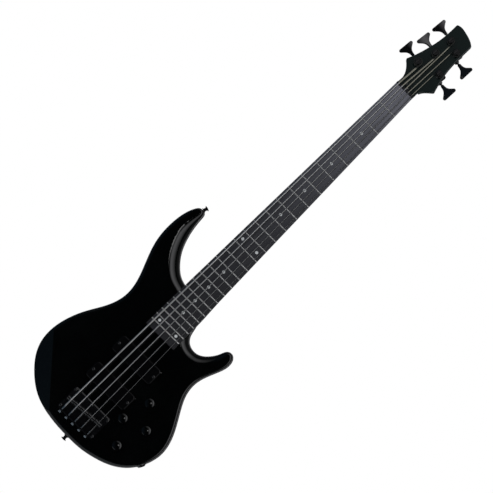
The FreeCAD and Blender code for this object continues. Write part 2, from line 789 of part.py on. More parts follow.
for place in small_screw_places[len(tuner_places):]:
    sink = lathe("cover_sink", [
        ("0", "dims.overrun"),
        ("dims.small_screw_head_radius + dims.fit_gap", "dims.overrun"),
        ("dims.small_screw_head_radius + dims.fit_gap", "0"),
        ("dims.small_screw_radius + dims.fit_gap", "-dims.small_screw_head_height"),
        ("dims.small_screw_radius + dims.fit_gap", "-dims.small_screw_length"),
        ("0", "-dims.small_screw_length"),
    ])
    sink.Placement = place
    countersinks.append(sink)
keep(cut("truss_rod_cover", truss_cover, countersinks), "truss_rod_cover")

# Strings: each runs from its ball end over saddle and nut to its post and winds round it.
TURNS = 2
plate_top = size.body_setback - size.bridge_plate_thickness
flange_rear = -size.scale_length - size.bridge_rear
string_paths = []
slot_tubes = []
for index, name in enumerate(STRINGS):
    gauge = getattr(size, "gauge_" + name)
    lane = index - (len(STRINGS) - 1) / 2
    across_nut = lane * size.string_spacing_nut
    across_bridge = lane * size.string_spacing_bridge
    setback = size.saddle_setback_start + size.saddle_setback_step * (len(STRINGS) - 1 - index)
    nut_height = size.board_thickness + size.nut_slot_lift - camber(across_nut) + gauge / 2
    saddle_height = size.string_saddle_height - camber(across_bridge) + gauge / 2
    over_nut = Vector(across_nut, -nut_height, size.nut_thickness / 2)
    over_saddle = Vector(across_bridge, -saddle_height, -size.scale_length - setback)
    hole = Vector(across_bridge, plate_top - size.bridge_hole_height,
                  flange_rear + size.bridge_flange_thickness / 2)
    slope = (hole.y - over_saddle.y) / (hole.z - over_saddle.z)
    ball_z = flange_rear - size.ball_gap - size.ball_radius
    ball_spot = Vector(across_bridge, hole.y + slope * (ball_z - hole.z), ball_z)

    side = WINDING_SIDE[index]
    post = head_point(*POST_SHARES[index])
    wrap_radius = size.post_radius + size.wrap_post_gap + gauge / 2
    pitch = gauge + size.wrap_gap
    last_height = size.bushing_rim + size.wrap_gap + gauge / 2
    away = head_place.inverse().multVec(over_nut) - post
    bearing = math.atan2(away.z, away.x)
    start_angle = bearing + side * math.acos(wrap_radius / math.hypot(away.x, away.z))

    def wrap_point(quarter):
        """Point on the winding after a number of quarter turns, and the direction there."""
        angle = start_angle + side * quarter * math.pi / 2
        height = last_height + pitch * (TURNS - quarter / 4)
        spot = post + Vector(wrap_radius * math.cos(angle), -height, wrap_radius * math.sin(angle))
        way = Vector(-side * wrap_radius * math.sin(angle), pitch / (2 * math.pi),
                     side * wrap_radius * math.cos(angle)).normalize()
        return head_place.multVec(spot), head_place.Rotation.multVec(way)

    first, first_way = wrap_point(0)
    edges, here = route([ball_spot, over_saddle, over_nut, first], size.string_bend)
    edges.append(Part.LineSegment(here, first).toShape())
    spot = first
    way = (first - here).normalize()
    winding = []
    for quarter in range(1, 4 * TURNS + 1):
        next_spot, next_way = wrap_point(quarter)
        winding.extend(biarc(spot, way, next_spot, next_way))
        spot = next_spot
        way = next_way
    samples = []
    for edge in winding:
        samples.extend(edge.discretize(8)[:-1])
    least = min((samples[one] - samples[two]).Length
                for one in range(len(samples)) for two in range(one + 40, len(samples)))
    print("string", name, "least gap between its own turns %.2f" % (least - gauge))
    wire = tube(edges + winding, gauge / 2)
    ball = Part.makeCylinder(size.ball_radius, size.ball_length,
                             ball_spot - Vector(size.ball_length / 2, 0, 0), Vector(1, 0, 0))
    keep(feature("string_" + name, wire.fuse(ball)), "string_" + name)
    nut_tube = tube(route([over_saddle, over_nut, first], size.string_bend)[0][-2:]
                    + [Part.LineSegment(here, first).toShape()], gauge / 2 + size.string_seat_gap)
    slot_tubes.append(nut_tube)
    string_paths.append(SimpleNamespace(name=name, gauge=gauge, over_nut=over_nut, over_saddle=over_saddle,
                                        hole=hole, over_edges=edges[:2]))

# Nut: a black block across the end of the fingerboard with a groove for each string.
nut_block = box("nut_block",
                ("dims.nut_width", "dims.board_thickness + dims.nut_rise", "dims.nut_thickness"),
                ("-dims.nut_width / 2", "-dims.board_thickness - dims.nut_rise", "0"))
slot_tools = []
for path, groove in zip(string_paths, slot_tubes):
    reach = path.gauge / 2 + size.string_seat_gap
    opening = Part.makeBox(2 * reach, size.overrun, size.nut_thickness + 2 * size.overrun,
                           path.over_nut - Vector(reach, size.overrun, size.overrun))
    slot_tools.append(groove.fuse(opening).Solids[0])
doc.recompute()
keep(feature("string_nut", nut_block.Shape.cut(slot_tools)), "nut")

# Tuning machines: bushing in front, housing behind, a worm on the key shaft and a gear on the post.
bushing = lathe("bushing_pattern", [
    ("dims.post_journal_radius + dims.fit_gap", "-dims.bushing_depth"),
    ("dims.bushing_tube_radius", "-dims.bushing_depth"),
    ("dims.bushing_tube_radius", "0"),
    ("dims.bushing_radius", "0"),
    ("dims.bushing_radius", "dims.bushing_rim / 2"),
    ("dims.bushing_radius - dims.bushing_rim / 2", "dims.bushing_rim"),
    ("dims.post_journal_radius + dims.fit_gap", "dims.bushing_rim"),
])
keep(feature("tuner_bushings", copies(bushing.Shape, tuner_fronts)), "tuner_bushings")

GEAR_TEETH = 16
gear_middle = size.head_thickness + size.worm_sink
gear_radius = size.gear_pitch_radius + size.gear_addendum
lead = 2 * math.pi * size.gear_pitch_radius / GEAR_TEETH
worm_pitch_radius = size.worm_offset - size.gear_pitch_radius
lead_angle = math.degrees(math.atan2(lead, 2 * math.pi * worm_pitch_radius))
gear_floor = gear_middle + size.gear_thickness / 2
post_turned = lathe("post_pattern", [
    ("0", "dims.post_height"),
    ("dims.post_cap_radius - dims.bushing_rim / 2", "dims.post_height"),
    ("dims.post_cap_radius", "dims.post_height - dims.bushing_rim / 2"),
    ("dims.post_cap_radius", "dims.post_height - dims.post_cap_height"),
    ("dims.post_radius", "dims.post_height - dims.post_cap_height - dims.bushing_rim / 2"),
    ("dims.post_radius", "dims.bushing_rim"),
    ("dims.post_journal_radius", "dims.bushing_rim"),
    ("dims.post_journal_radius", "-dims.bushing_depth"),
    ("dims.post_pin_radius", "-dims.bushing_depth"),
    ("dims.post_pin_radius", "-dims.head_thickness - dims.worm_sink - dims.gear_thickness / 2"),
    ("0", "-dims.head_thickness - dims.worm_sink - dims.gear_thickness / 2"),
])
post_solid = post_turned.Shape.copy()
post_solid.Placement = Placement(Vector(), front)
gear = Part.makeCylinder(gear_radius, size.gear_thickness, Vector(0, gear_floor, 0), Vector(0, -1, 0))
tooth_gaps = []
for tooth in range(GEAR_TEETH):
    gap = Part.makeBox(size.gear_slot_width, 2 * size.gear_thickness, 2 * size.gear_slot_depth,
                       Vector(-size.gear_slot_width / 2, gear_middle - size.gear_thickness,
                              -gear_radius - size.gear_slot_depth))
    gap.rotate(Vector(0, gear_middle, 0), Vector(0, 0, 1), lead_angle)
    gap.rotate(Vector(), Vector(0, 1, 0), tooth * 360 / GEAR_TEETH)
    tooth_gaps.append(gap)
gear = gear.cut(Part.makeCompound(tooth_gaps))
post_slot = Part.makeBox(size.post_slot_width, size.post_slot_depth + size.overrun, 4 * size.post_cap_radius,
                         Vector(-size.post_slot_width / 2, -size.post_height - size.overrun,
                                -2 * size.post_cap_radius))
post_shape = post_solid.fuse(gear).cut(post_slot).removeSplitter()
for name, place in zip(STRINGS, tuner_places):
    keep(feature("tuner_post_" + name, post_shape, place), "tuner_post_" + name)

# Key: a fishtail wing on a shaft that carries the worm.
worm_axis = Vector(0, gear_middle, -size.worm_offset)
helix = Part.makeHelix(lead, size.worm_length, size.worm_root_radius)
thread_section = Part.makePolygon([
    Vector(size.worm_root_radius - size.worm_room, 0, -size.worm_root_width / 2),
    Vector(size.worm_crest_radius, 0, -size.worm_crest_width / 2),
    Vector(size.worm_crest_radius, 0, size.worm_crest_width / 2),
    Vector(size.worm_root_radius - size.worm_room, 0, size.worm_root_width / 2),
    Vector(size.worm_root_radius - size.worm_room, 0, -size.worm_root_width / 2),
])
thread = Part.Wire(helix.Edges).makePipeShell([Part.Wire(thread_section.Edges)], True, True)
core = Part.makeCylinder(size.worm_root_radius, size.worm_length + 4 * size.worm_room,
                         Vector(0, 0, -2 * size.worm_room))
worm = core.fuse(thread)
worm.translate(Vector(0, 0, -size.worm_length / 2))
worm.rotate(Vector(), Vector(0, 0, 1), -180 * size.worm_length / lead)
turn_to_shaft = Rotation(Vector(0, 0, 1), Vector(0, -1, 0), Vector(1, 0, 0), "ZYX")
worm.Placement = Placement(worm_axis, turn_to_shaft).multiply(worm.Placement)
worm_half = size.worm_length / 2 + size.worm_room
shaft_rear = Part.makeCylinder(size.key_shaft_radius, size.key_shaft_tail - worm_half,
                               worm_axis - Vector(size.key_shaft_tail, 0, 0), Vector(1, 0, 0))
shaft_front = Part.makeCylinder(size.key_shaft_radius, size.key_start + size.key_hub_half_width - worm_half,
                                worm_axis + Vector(worm_half, 0, 0), Vector(1, 0, 0))
FLARE_SHARES = [(0.0, 0.196), (0.237, 0.223), (0.429, 0.338), (0.592, 0.575), (0.771, 0.870)]
wing_span = size.key_reach - size.key_start
flare = [Vector(size.key_start + along * wing_span, 0, across * size.key_half_width)
         for along, across in FLARE_SHARES]
lobe = Vector(size.key_reach - size.key_lobe_radius, 0, size.key_half_width - size.key_lobe_radius)
lobe_turn = math.atan2(flare[-1].z - lobe.z, flare[-1].x - lobe.x)
lobe_mid = lobe + Vector(math.cos(lobe_turn / 2), 0, math.sin(lobe_turn / 2)) * size.key_lobe_radius
lobe_end = lobe + Vector(size.key_lobe_radius, 0, 0)
lobe_start = lobe + Vector(math.cos(lobe_turn), 0, math.sin(lobe_turn)) * size.key_lobe_radius
flare[-1] = lobe_start


def mirrored(point):
    """The same point on the other half of the key."""
    return Vector(point.x, point.y, -point.z)


upper_flare = Part.BSplineCurve()
upper_flare.interpolate(flare)
lower_flare = Part.BSplineCurve()
lower_flare.interpolate([mirrored(point) for point in reversed(flare)])
wing_edges = [
    upper_flare.toShape(),
    Part.Arc(lobe_start, lobe_mid, lobe_end).toShape(),
    Part.LineSegment(lobe_end, mirrored(lobe_end)).toShape(),
    Part.Arc(mirrored(lobe_end), mirrored(lobe_mid), mirrored(lobe_start)).toShape(),
    lower_flare.toShape(),
    Part.LineSegment(mirrored(flare[0]), flare[0]).toShape(),
]
wing = Part.Face(Part.Wire(wing_edges)).extrude(Vector(0, size.key_thickness, 0))
wing.translate(Vector(0, -size.key_thickness / 2, 0))
wing_rims = []
for edge in wing.Edges:
    ends = [vertex.Point for vertex in edge.Vertexes]
    hub_end = max(end.x for end in ends) < size.key_start + size.fit_gap
    if abs(ends[0].y - ends[-1].y) < size.fit_gap and not hub_end:
        wing_rims.append(edge)
wing = wing.makeFillet(size.key_edge_round, wing_rims)
face_depth = size.key_face_radius - size.key_thickness / 2
for side in (-1, 1):
    wing = wing.common(Part.makeCylinder(size.key_face_radius, size.key_reach + size.overrun,
                                         Vector(0, side * face_depth, 0), Vector(1, 0, 0)))
for name, place in zip(STRINGS, tuner_places):
    turned_wing = wing.copy()
    turned_wing.rotate(Vector(), Vector(1, 0, 0), getattr(size, "key_turn_" + name))
    turned_wing.translate(worm_axis)
    key_shape = worm.multiFuse([shaft_rear, shaft_front, turned_wing])
    keep(feature("tuner_key_" + name, key_shape, place), "tuner_key_" + name)

# Housing: a closed case that carries shaft and post, with one screw ear.
case = Part.makeBox(size.housing_rear * 2, size.housing_depth,
                    size.housing_worm_side + size.housing_half_height,
                    Vector(-size.housing_rear, size.head_thickness, -size.housing_worm_side))
case_edges = []
for edge in case.Edges:
    if edge.CenterOfMass.y > size.head_thickness + size.fit_gap:
        case_edges.append(edge)
case = case.makeFillet(size.housing_round, case_edges)
sleeve = Part.makeCylinder(size.key_shaft_radius + size.housing_round, size.housing_front,
                           worm_axis, Vector(1, 0, 0))
ear = Part.makeCylinder(size.housing_ear_radius, size.housing_ear_thickness,
                        Vector(0, size.head_thickness, size.housing_ear_reach), Vector(0, 1, 0))
gear_room = Part.makeCylinder(gear_radius + size.worm_room, gear_floor + size.worm_room - size.head_thickness
                              + size.overrun, Vector(0, gear_floor + size.worm_room, 0), Vector(0, -1, 0))
worm_room = Part.makeCylinder(size.worm_crest_radius + size.worm_room, 2 * (worm_half + size.worm_room),
                              worm_axis - Vector(worm_half + size.worm_room, 0, 0), Vector(1, 0, 0))
shaft_room = Part.makeCylinder(size.key_shaft_radius + size.fit_gap, size.key_shaft_tail + size.worm_room
                               + size.housing_front + size.overrun,
                               worm_axis - Vector(size.key_shaft_tail + size.worm_room, 0, 0),
                               Vector(1, 0, 0))
ear_hole = lathe("ear_hole", [
    ("0", "dims.overrun"),
    ("dims.small_screw_head_radius + dims.fit_gap", "dims.overrun"),
    ("dims.small_screw_head_radius + dims.fit_gap", "0"),
    ("dims.small_screw_radius + dims.fit_gap", "-dims.small_screw_head_height"),
    ("dims.small_screw_radius + dims.fit_gap", "-dims.small_screw_length"),
    ("0", "-dims.small_screw_length"),
]).Shape.copy()
ear_hole.Placement = Placement(Vector(0, size.head_thickness + size.housing_ear_thickness,
                                      size.housing_ear_reach), back)
housing = case.multiFuse([sleeve, ear]).cut(Part.makeCompound([gear_room, worm_room, shaft_room, ear_hole]))
keep(feature("tuner_housings", copies(housing, tuner_places)), "tuner_housings")

# Body outline: shares of its half width and of its length from the tail, once round from the tail.
BODY_SHARES = [
    (0.048, 0.0), (-0.265, 0.007), (-0.566, 0.036), (-0.794, 0.091), (-0.951, 0.161), (-1.0, 0.235),
    (-0.963, 0.317), (-0.858, 0.399), (-0.728, 0.473), (-0.653, 0.555), (-0.686, 0.633), (-0.777, 0.711),
    (-0.854, 0.789), (-0.874, 0.867), (-0.850, 0.934), (-0.795, 0.981), (-0.735, 0.9995), (-0.685, 0.996),
    (-0.661, 0.970), (-0.615, 0.880), (-0.552, 0.828), (-0.445, 0.781), (-0.325, 0.752), (-0.205, 0.741),
    (-0.060, 0.727), (0.084, 0.703), (0.170, 0.683), (0.215, 0.655), (0.243, 0.618), (0.291, 0.596),
    (0.385, 0.584), (0.481, 0.588), (0.586, 0.614), (0.660, 0.651), (0.699, 0.674), (0.745, 0.6815),
    (0.793, 0.674), (0.827, 0.645), (0.800, 0.602), (0.739, 0.555), (0.691, 0.497), (0.709, 0.442),
    (0.786, 0.387), (0.895, 0.325), (0.977, 0.263), (1.0, 0.208), (0.960, 0.149), (0.858, 0.091),
    (0.684, 0.044), (0.457, 0.015), (0.241, 0.0016),
]
# Outline points where the rounding of the front edge changes, with the rounding there.
FRONT_ROUNDS = [(0, size.edge_round), (14, size.edge_round), (16, size.horn_tip_round),
                (19, size.upper_bevel), (23, size.upper_bevel), (26, size.heel_corner_round),
                (28, size.lower_bevel),
                (31, size.lower_bevel), (33, size.short_horn_bevel), (35, size.short_horn_round),
                (38, size.treble_round), (46, size.treble_round), (49, size.edge_round)]


def body_point(across, along):
    """Point on the body's front face from shares of its half width and its length."""
    return Vector(across * size.body_half_width, size.body_setback, tail + along * size.body_length)


body_points = [body_point(*share) for share in BODY_SHARES]
body_curve = Part.BSplineCurve()
body_curve.interpolate(Points=body_points, PeriodicFlag=True)
round_marks = [0]
for index, radius in FRONT_ROUNDS[1:]:
    round_marks.append(body_curve.parameter(body_points[index]))
round_marks.append(body_curve.LastParameter)
body_edges = [body_curve.toShape(low, high) for low, high in zip(round_marks, round_marks[1:])]
slab = feature("body_slab", Part.Face(Part.Wire(body_edges)).extrude(Vector(0, size.body_thickness, 0)))
rounds = []
for number, edge in enumerate(slab.Shape.Edges, start=1):
    ends = [edge.valueAt(edge.FirstParameter), edge.valueAt(edge.LastParameter)]
    if all(end.y < size.body_setback + size.fit_gap for end in ends):
        radii = []
        for end in ends:
            nearest = min(FRONT_ROUNDS, key=lambda mark: (body_points[mark[0]] - end).Length)
            radii.append(nearest[1])
        rounds.append((number, radii[0], radii[1]))
    elif all(end.y > back_face - size.fit_gap for end in ends):
        rounds.append((number, size.back_round, size.back_round))
rounded = doc.addObject("Part::Fillet", "body_rounded")
rounded.Base = slab
rounded.Edges = rounds

# Forearm bevel: a flat facet on the thick-string side of the lower bout.
ARM_LINE_SHARES = [(-0.818, 0.204), (-0.337, 0.0285)]
arm_start = body_point(*ARM_LINE_SHARES[0])
arm_end = body_point(*ARM_LINE_SHARES[1])
arm_way = (arm_end - arm_start).normalize()
arm_out = Vector(arm_way.z, 0, -arm_way.x)
if arm_out.x > 0:
    arm_out = arm_out * -1
arm_lean = math.radians(size.arm_slope)
arm_fall = arm_out * math.cos(arm_lean) + Vector(0, math.sin(arm_lean), 0)
arm_up = arm_way.cross(arm_fall)
if arm_up.y > 0:
    arm_up = arm_up * -1
arm_cut = doc.addObject("Part::Box", "arm_cut")
for side in ("Length", "Width", "Height"):
    arm_cut.setExpression(side, "dims.arm_cut_size")
arm_turn = Rotation(arm_way, arm_up.cross(arm_way), arm_up, "ZXY")
if arm_turn.multVec(Vector(0, 1, 0)).dot(arm_fall) < 0:
    arm_turn = Rotation(arm_way * -1, arm_fall, arm_up, "ZXY")
arm_middle = (arm_start + arm_end) * 0.5
arm_cut.Placement = Placement(
    arm_middle - arm_turn.multVec(Vector(size.arm_cut_size / 2, 0, 0)), arm_turn)

# Neck pocket, as wide as the fingerboard and as deep as the heel.
POCKET_MOUTH_SHARE = 0.791
POCKET_WIDTH = ("(dims.nut_width + (dims.board_end_width - dims.nut_width) * (%s) / dims.board_length) / 2"
                " + dims.pocket_gap")
pocket_mouth = "dims.scale_length + dims.tail_margin - dims.body_length * %s" % POCKET_MOUTH_SHARE
pocket_end = "dims.board_length + dims.pocket_gap"
pocket = plate("neck_pocket", [
    ("-(" + POCKET_WIDTH % pocket_mouth + ")", "-(" + pocket_mouth + ")"),
    (POCKET_WIDTH % pocket_mouth, "-(" + pocket_mouth + ")"),
    (POCKET_WIDTH % pocket_end, "-(" + pocket_end + ")"),
    ("-(" + POCKET_WIDTH % pocket_end + ")", "-(" + pocket_end + ")"),
], "dims.heel_depth + dims.overrun")
pocket.setExpression("Placement.Base.y", "dims.heel_depth")

# Pickup routes, one behind the other in front of the bridge.
PICKUPS = ["neck", "bridge"]
body_tools = [arm_cut, pocket]
pickup_floor = size.body_setback + size.pickup_height - size.pickup_rise
for name in PICKUPS:
    body_tools.append(box(
        name + "_pickup_route",
        ("dims.pickup_length + 2 * dims.pickup_gap",
         "dims.pickup_height - dims.pickup_rise + dims.overrun",
         "dims.pickup_width + 2 * dims.pickup_gap"),
        ("-dims.pickup_length / 2 - dims.pickup_gap",
         "dims.body_setback - dims.overrun",
         "dims.%s_pickup_distance - dims.scale_length - dims.pickup_width / 2 - dims.pickup_gap" % name)))

# Control places on the thin-string side, the output jack on the rim beside them.
CONTROL_SHARES = [(0.487, 0.319), (0.385, 0.204), (0.565, 0.112), (0.692, 0.2335)]
JACK_SHARE = (0.931, 0.123)
control_spots = [body_point(*share) for share in CONTROL_SHARES]


def rim_at(share, height):
    """Point on the body's rim nearest to a share, and the direction straight out of it."""
    mark = body_curve.parameter(body_point(*share))
    spot = body_curve.value(mark)
    along = body_curve.tangent(mark)[0]
    way = Vector(-along.z, 0, along.x)
    if way.dot(spot - body_point(0, 0.3)) < 0:
        way = way * -1
    return Vector(spot.x, height, spot.z), way.normalize()


middle_depth = size.body_setback + size.body_thickness / 2
jack_spot, jack_way = rim_at(JACK_SHARE, middle_depth)
jack_inner = jack_spot - jack_way * size.jack_depth


def rounded_hull(spots, radius, height):
    """Closed outline at a height that keeps a distance from the hull of several spots."""
    flat = sorted((spot.x, spot.z) for spot in spots)

    def chain(points):
        hull = []
        for point in points:
            while len(hull) > 1 and ((hull[-1][0] - hull[-2][0]) * (point[1] - hull[-2][1])
                                     <= (hull[-1][1] - hull[-2][1]) * (point[0] - hull[-2][0])):
                hull.pop()
            hull.append(point)
        return hull

    ring = chain(flat)[:-1] + chain(flat[::-1])[:-1]
    ring = [Vector(x, height, z) for x, z in ring]
    normals = []
    for spot, after in zip(ring, ring[1:] + ring[:1]):
        run = (after - spot).normalize()
        normals.append(Vector(run.z, 0, -run.x))
    edges = []
    for index, spot in enumerate(ring):
        after = ring[(index + 1) % len(ring)]
        out = normals[index]
        next_out = normals[(index + 1) % len(ring)]
        edges.append(Part.LineSegment(spot + out * radius, after + out * radius).toShape())
        middle = (out + next_out).normalize()
        corner = Part.Arc(after + out * radius, after + middle * radius, after + next_out * radius)
        edges.append(corner.toShape())
    return Part.Wire(edges)


cavity_spots = control_spots + [jack_inner]
cavity_top = size.body_setback + size.cavity_skin
cavity_face = Part.Face(rounded_hull(cavity_spots, size.cavity_margin, cavity_top))
cavity = feature("control_cavity", cavity_face.extrude(Vector(0, size.body_thickness, 0)))
lid_seat = back_face - size.lid_thickness
recess_face = Part.Face(rounded_hull(cavity_spots, size.lid_margin + size.lid_gap, lid_seat))
recess = feature("lid_recess", recess_face.extrude(Vector(0, size.body_thickness, 0)))
body_tools.extend([cavity, recess])
lid_blank = feature("lid_blank", Part.Face(rounded_hull(cavity_spots, size.lid_margin, lid_seat)).extrude(
    Vector(0, size.lid_thickness, 0)))
hull_middle = Vector()
for spot in cavity_spots:
    hull_middle = hull_middle + spot * (1 / len(cavity_spots))
lid_screw_places = []
for spot in [control_spots[0], control_spots[1], control_spots[2], jack_inner]:
    out = Vector(spot.x - hull_middle.x, 0, spot.z - hull_middle.z).normalize()
    reach = (size.cavity_margin + size.lid_margin) / 2
    lid_screw_places.append(Placement(Vector(spot.x, back_face, spot.z) + out * reach, back))
lid_sinks = []
for place in lid_screw_places:
    sink = ear_hole.copy()
    sink.Placement = place
    lid_sinks.append(sink)
keep(cut("control_lid", lid_blank, [feature("lid_sinks", Part.makeCompound(lid_sinks))]), "control_lid")
all_small_places = small_screw_places + lid_screw_places
keep(feature("small_screws", copies(small_screw.Shape, all_small_places)), "small_screws")

# Bridge screws: three along the front of the plate and two at its rear corners.
bridge_front_edge = size.bridge_front - size.scale_length
bridge_screw = screw_pattern("bridge_screw_pattern", "bridge_screw_radius", "bridge_screw_length",
                             "bridge_screw_head_radius", "bridge_screw_head_height")
bridge_screw_places = []
for across in (-size.bridge_screw_side, 0, size.bridge_screw_side):
    bridge_screw_places.append(Placement(
        Vector(across, plate_top, bridge_front_edge - size.bridge_screw_front_inset), front))
for across in (-size.bridge_screw_side, size.bridge_screw_side):
    bridge_screw_places.append(Placement(
        Vector(across, plate_top, flange_rear + size.bridge_screw_rear_inset), front))
keep(feature("bridge_screws", copies(bridge_screw.Shape, bridge_screw_places)), "bridge_screws")

# Pickup screws: one at each end of both covers.
pickup_screw = screw_pattern("pickup_screw_pattern", "pickup_screw_radius", "pickup_screw_length",
                             "pickup_screw_head_radius", "pickup_screw_head_height")
pickup_top = size.body_setback - size.pickup_rise
pickup_rows = [size.neck_pickup_distance - size.scale_length, size.bridge_pickup_distance - size.scale_length]
pickup_screw_places = []
for row in pickup_rows:
    for side in (-1, 1):
        across = side * (size.pickup_length / 2 - size.pickup_screw_inset)
        pickup_screw_places.append(Placement(Vector(across, pickup_top, row), front))
keep(feature("pickup_screws", copies(pickup_screw.Shape, pickup_screw_places)), "pickup_screws")

# Strap buttons: one at the tail, one at the tip of the long horn, each on its own wood screw.
TAIL_BUTTON_SHARE = (0.034, 0.0)
HORN_BUTTON_SHARE = (-0.712, 1.0)
button = lathe("button_pattern", [
    ("dims.strap_screw_radius + dims.fit_gap", "0"),
    ("dims.button_base_radius", "0"),
    ("dims.button_base_radius", "dims.button_base_height / 2"),
    ("dims.button_waist_radius", "dims.button_base_height"),
    ("dims.button_waist_radius", "dims.button_height - dims.button_cap_height"),
    ("dims.button_cap_radius", "dims.button_height - dims.button_cap_height / 2"),
    ("dims.button_cap_radius", "dims.button_height"),
    ("dims.strap_screw_head_radius + dims.fit_gap", "dims.button_height"),
    ("dims.strap_screw_radius + dims.fit_gap", "dims.button_height - dims.strap_screw_head_height"),
])
strap_screw = screw_pattern("strap_screw_pattern", "strap_screw_radius", "strap_screw_length",
                            "strap_screw_head_radius", "strap_screw_head_height")
tail_spot, tail_way = rim_at(TAIL_BUTTON_SHARE, middle_depth)
horn_spot, horn_way = rim_at(HORN_BUTTON_SHARE, middle_depth)
horn_lean = math.radians(size.horn_button_lean)
horn_way = Vector(math.sin(horn_lean), 0, math.cos(horn_lean))
button_places = [facing(tail_spot, tail_way), facing(horn_spot, horn_way)]
strap_screw_places = [place.multiply(Placement(Vector(0, 0, size.button_height), Rotation()))
                      for place in button_places]
keep(feature("strap_buttons", copies(button.Shape, button_places)), "strap_buttons")
keep(feature("strap_screws", copies(strap_screw.Shape, strap_screw_places)), "strap_screws")

# Remaining holes of the body.
holes = list(neck_screw_holes)
for place in neck_screw_places:
    holes.append(Part.makeCylinder(size.ferrule_radius + size.fit_gap,
                                   size.ferrule_height + size.ferrule_sink,
                                   Vector(place.Base.x, back_face, place.Base.z), Vector(0, -1, 0)))
holes.extend(screw_holes(bridge_screw_places, size.bridge_screw_radius, size.bridge_screw_length))
holes.extend(screw_holes(pickup_screw_places, size.pickup_screw_radius, size.pickup_screw_length))
holes.extend(screw_holes(strap_screw_places, size.strap_screw_radius, size.strap_screw_length))
holes.extend(screw_holes(lid_screw_places, size.small_screw_radius, size.small_screw_length))
for spot in control_spots:
    holes.append(Part.makeCylinder(size.pot_bush_radius + size.fit_gap, size.cavity_skin + size.overrun,
                                   spot - Vector(0, size.overrun / 2, 0), Vector(0, 1, 0)))
holes.append(Part.makeCylinder(size.jack_radius + size.fit_gap, size.jack_depth + size.overrun,
                               jack_spot + jack_way * size.overrun, jack_way * -1))
holes.append(Part.makeCylinder(size.jack_plate_radius + size.fit_gap, size.jack_plate_sink + size.overrun,
                               jack_spot + jack_way * size.overrun, jack_way * -1))
for place in button_places:
    seat = place.Base
    way = place.Rotation.multVec(Vector(0, 0, 1))
    holes.append(Part.makeCylinder(size.button_base_radius + size.fit_gap, size.overrun, seat, way))
wire_level = pickup_floor - size.wire_floor_gap
wire_lane = size.coil_length / 4
channel_start = Vector(wire_lane, wire_level, pickup_rows[0])
holes.append(Part.makeCylinder(size.wire_channel_radius, pickup_rows[0] - pickup_rows[1], channel_start,
                               Vector(0, 0, -1)))
wire_line = pickup_rows[1] + size.wire_shift
holes.append(Part.makeCylinder(size.wire_channel_radius, control_spots[0].x - wire_lane,
                               Vector(wire_lane, wire_level, wire_line), Vector(1, 0, 0)))
body_tools.append(feature("body_holes", holes[0].multiFuse(holes[1:])))
body = keep(cut("body", rounded, body_tools), "body")

# Bridge: a bent plate with a rear flange that takes the ball ends and the intonation screws.
bridge_corners = []
for across, along in ((-1, 0), (1, 0), (1, 1), (-1, 1)):
    edge = "%s dims.bridge_width / 2" % ("-" if across < 0 else "")
    inner = "%s(dims.bridge_width / 2 - dims.bridge_corner_round)" % ("-" if across < 0 else "")
    line = "-dims.scale_length - dims.bridge_rear" if along else "dims.bridge_front - dims.scale_length"
    short = line + (" + dims.bridge_corner_round" if along else " - dims.bridge_corner_round")
    pair = [(edge, short), (inner, line)]
    bridge_corners.extend(pair if (across < 0) == (along == 0) else pair[::-1])
bridge_base = plate("bridge_base", bridge_corners, "dims.bridge_plate_thickness")
bridge_base.setExpression("Placement.Base.y", "dims.body_setback")
bridge_flange = box("bridge_flange",
                    ("dims.bridge_flange_width", "dims.bridge_flange_height + dims.bridge_plate_thickness",
                     "dims.bridge_flange_thickness"),
                    ("-dims.bridge_flange_width / 2", "dims.body_setback - dims.bridge_plate_thickness"
                     " - dims.bridge_flange_height", "-dims.scale_length - dims.bridge_rear"))
bridge_tools = []
screw_level = plate_top - size.screw_axis_height
for path in string_paths:
    behind = flange_rear - size.overrun / 2
    bridge_tools.append(rod("string_hole_" + path.name, "dims.bridge_hole_radius",
                            "dims.bridge_flange_thickness + dims.overrun",
                            Vector(path.hole.x, path.hole.y, behind), Vector(0, 0, 1)))
    bridge_tools.append(rod("screw_hole_" + path.name, "dims.intonation_radius + dims.fit_gap",
                            "dims.bridge_flange_thickness + dims.overrun",
                            Vector(path.hole.x, screw_level, behind), Vector(0, 0, 1)))
for place in bridge_screw_places:
    sink = lathe("bridge_sink", [
        ("0", "dims.overrun"),
        ("dims.bridge_screw_head_radius + dims.fit_gap", "dims.overrun"),
        ("dims.bridge_screw_head_radius + dims.fit_gap", "0"),
        ("dims.bridge_screw_radius + dims.fit_gap", "-dims.bridge_screw_head_height"),
        ("dims.bridge_screw_radius + dims.fit_gap", "-dims.overrun"),
        ("0", "-dims.overrun"),
    ])
    sink.Placement = place
    bridge_tools.append(sink)
bridge_line = size.bridge_front - size.scale_length
bevel_side = [Vector(0, plate_top, bridge_line - size.bridge_bevel_length),
              Vector(0, plate_top + size.bridge_bevel_drop, bridge_line),
              Vector(0, plate_top + size.bridge_bevel_drop, bridge_line + size.overrun),
              Vector(0, plate_top - size.overrun, bridge_line + size.overrun),
              Vector(0, plate_top - size.overrun, bridge_line - size.bridge_bevel_length)]
bevel_face = Part.Face(Part.makePolygon(bevel_side + bevel_side[:1]))
bevel_wedge = bevel_face.extrude(Vector(size.bridge_width, 0, 0))
bevel_place = Placement(Vector(-size.bridge_width / 2, 0, 0), Rotation())
bridge_tools.append(feature("bridge_bevel", bevel_wedge, bevel_place))
keep(cut("bridge_plate", fuse("bridge_bent", [bridge_base, bridge_flange]), bridge_tools), "bridge_plate")

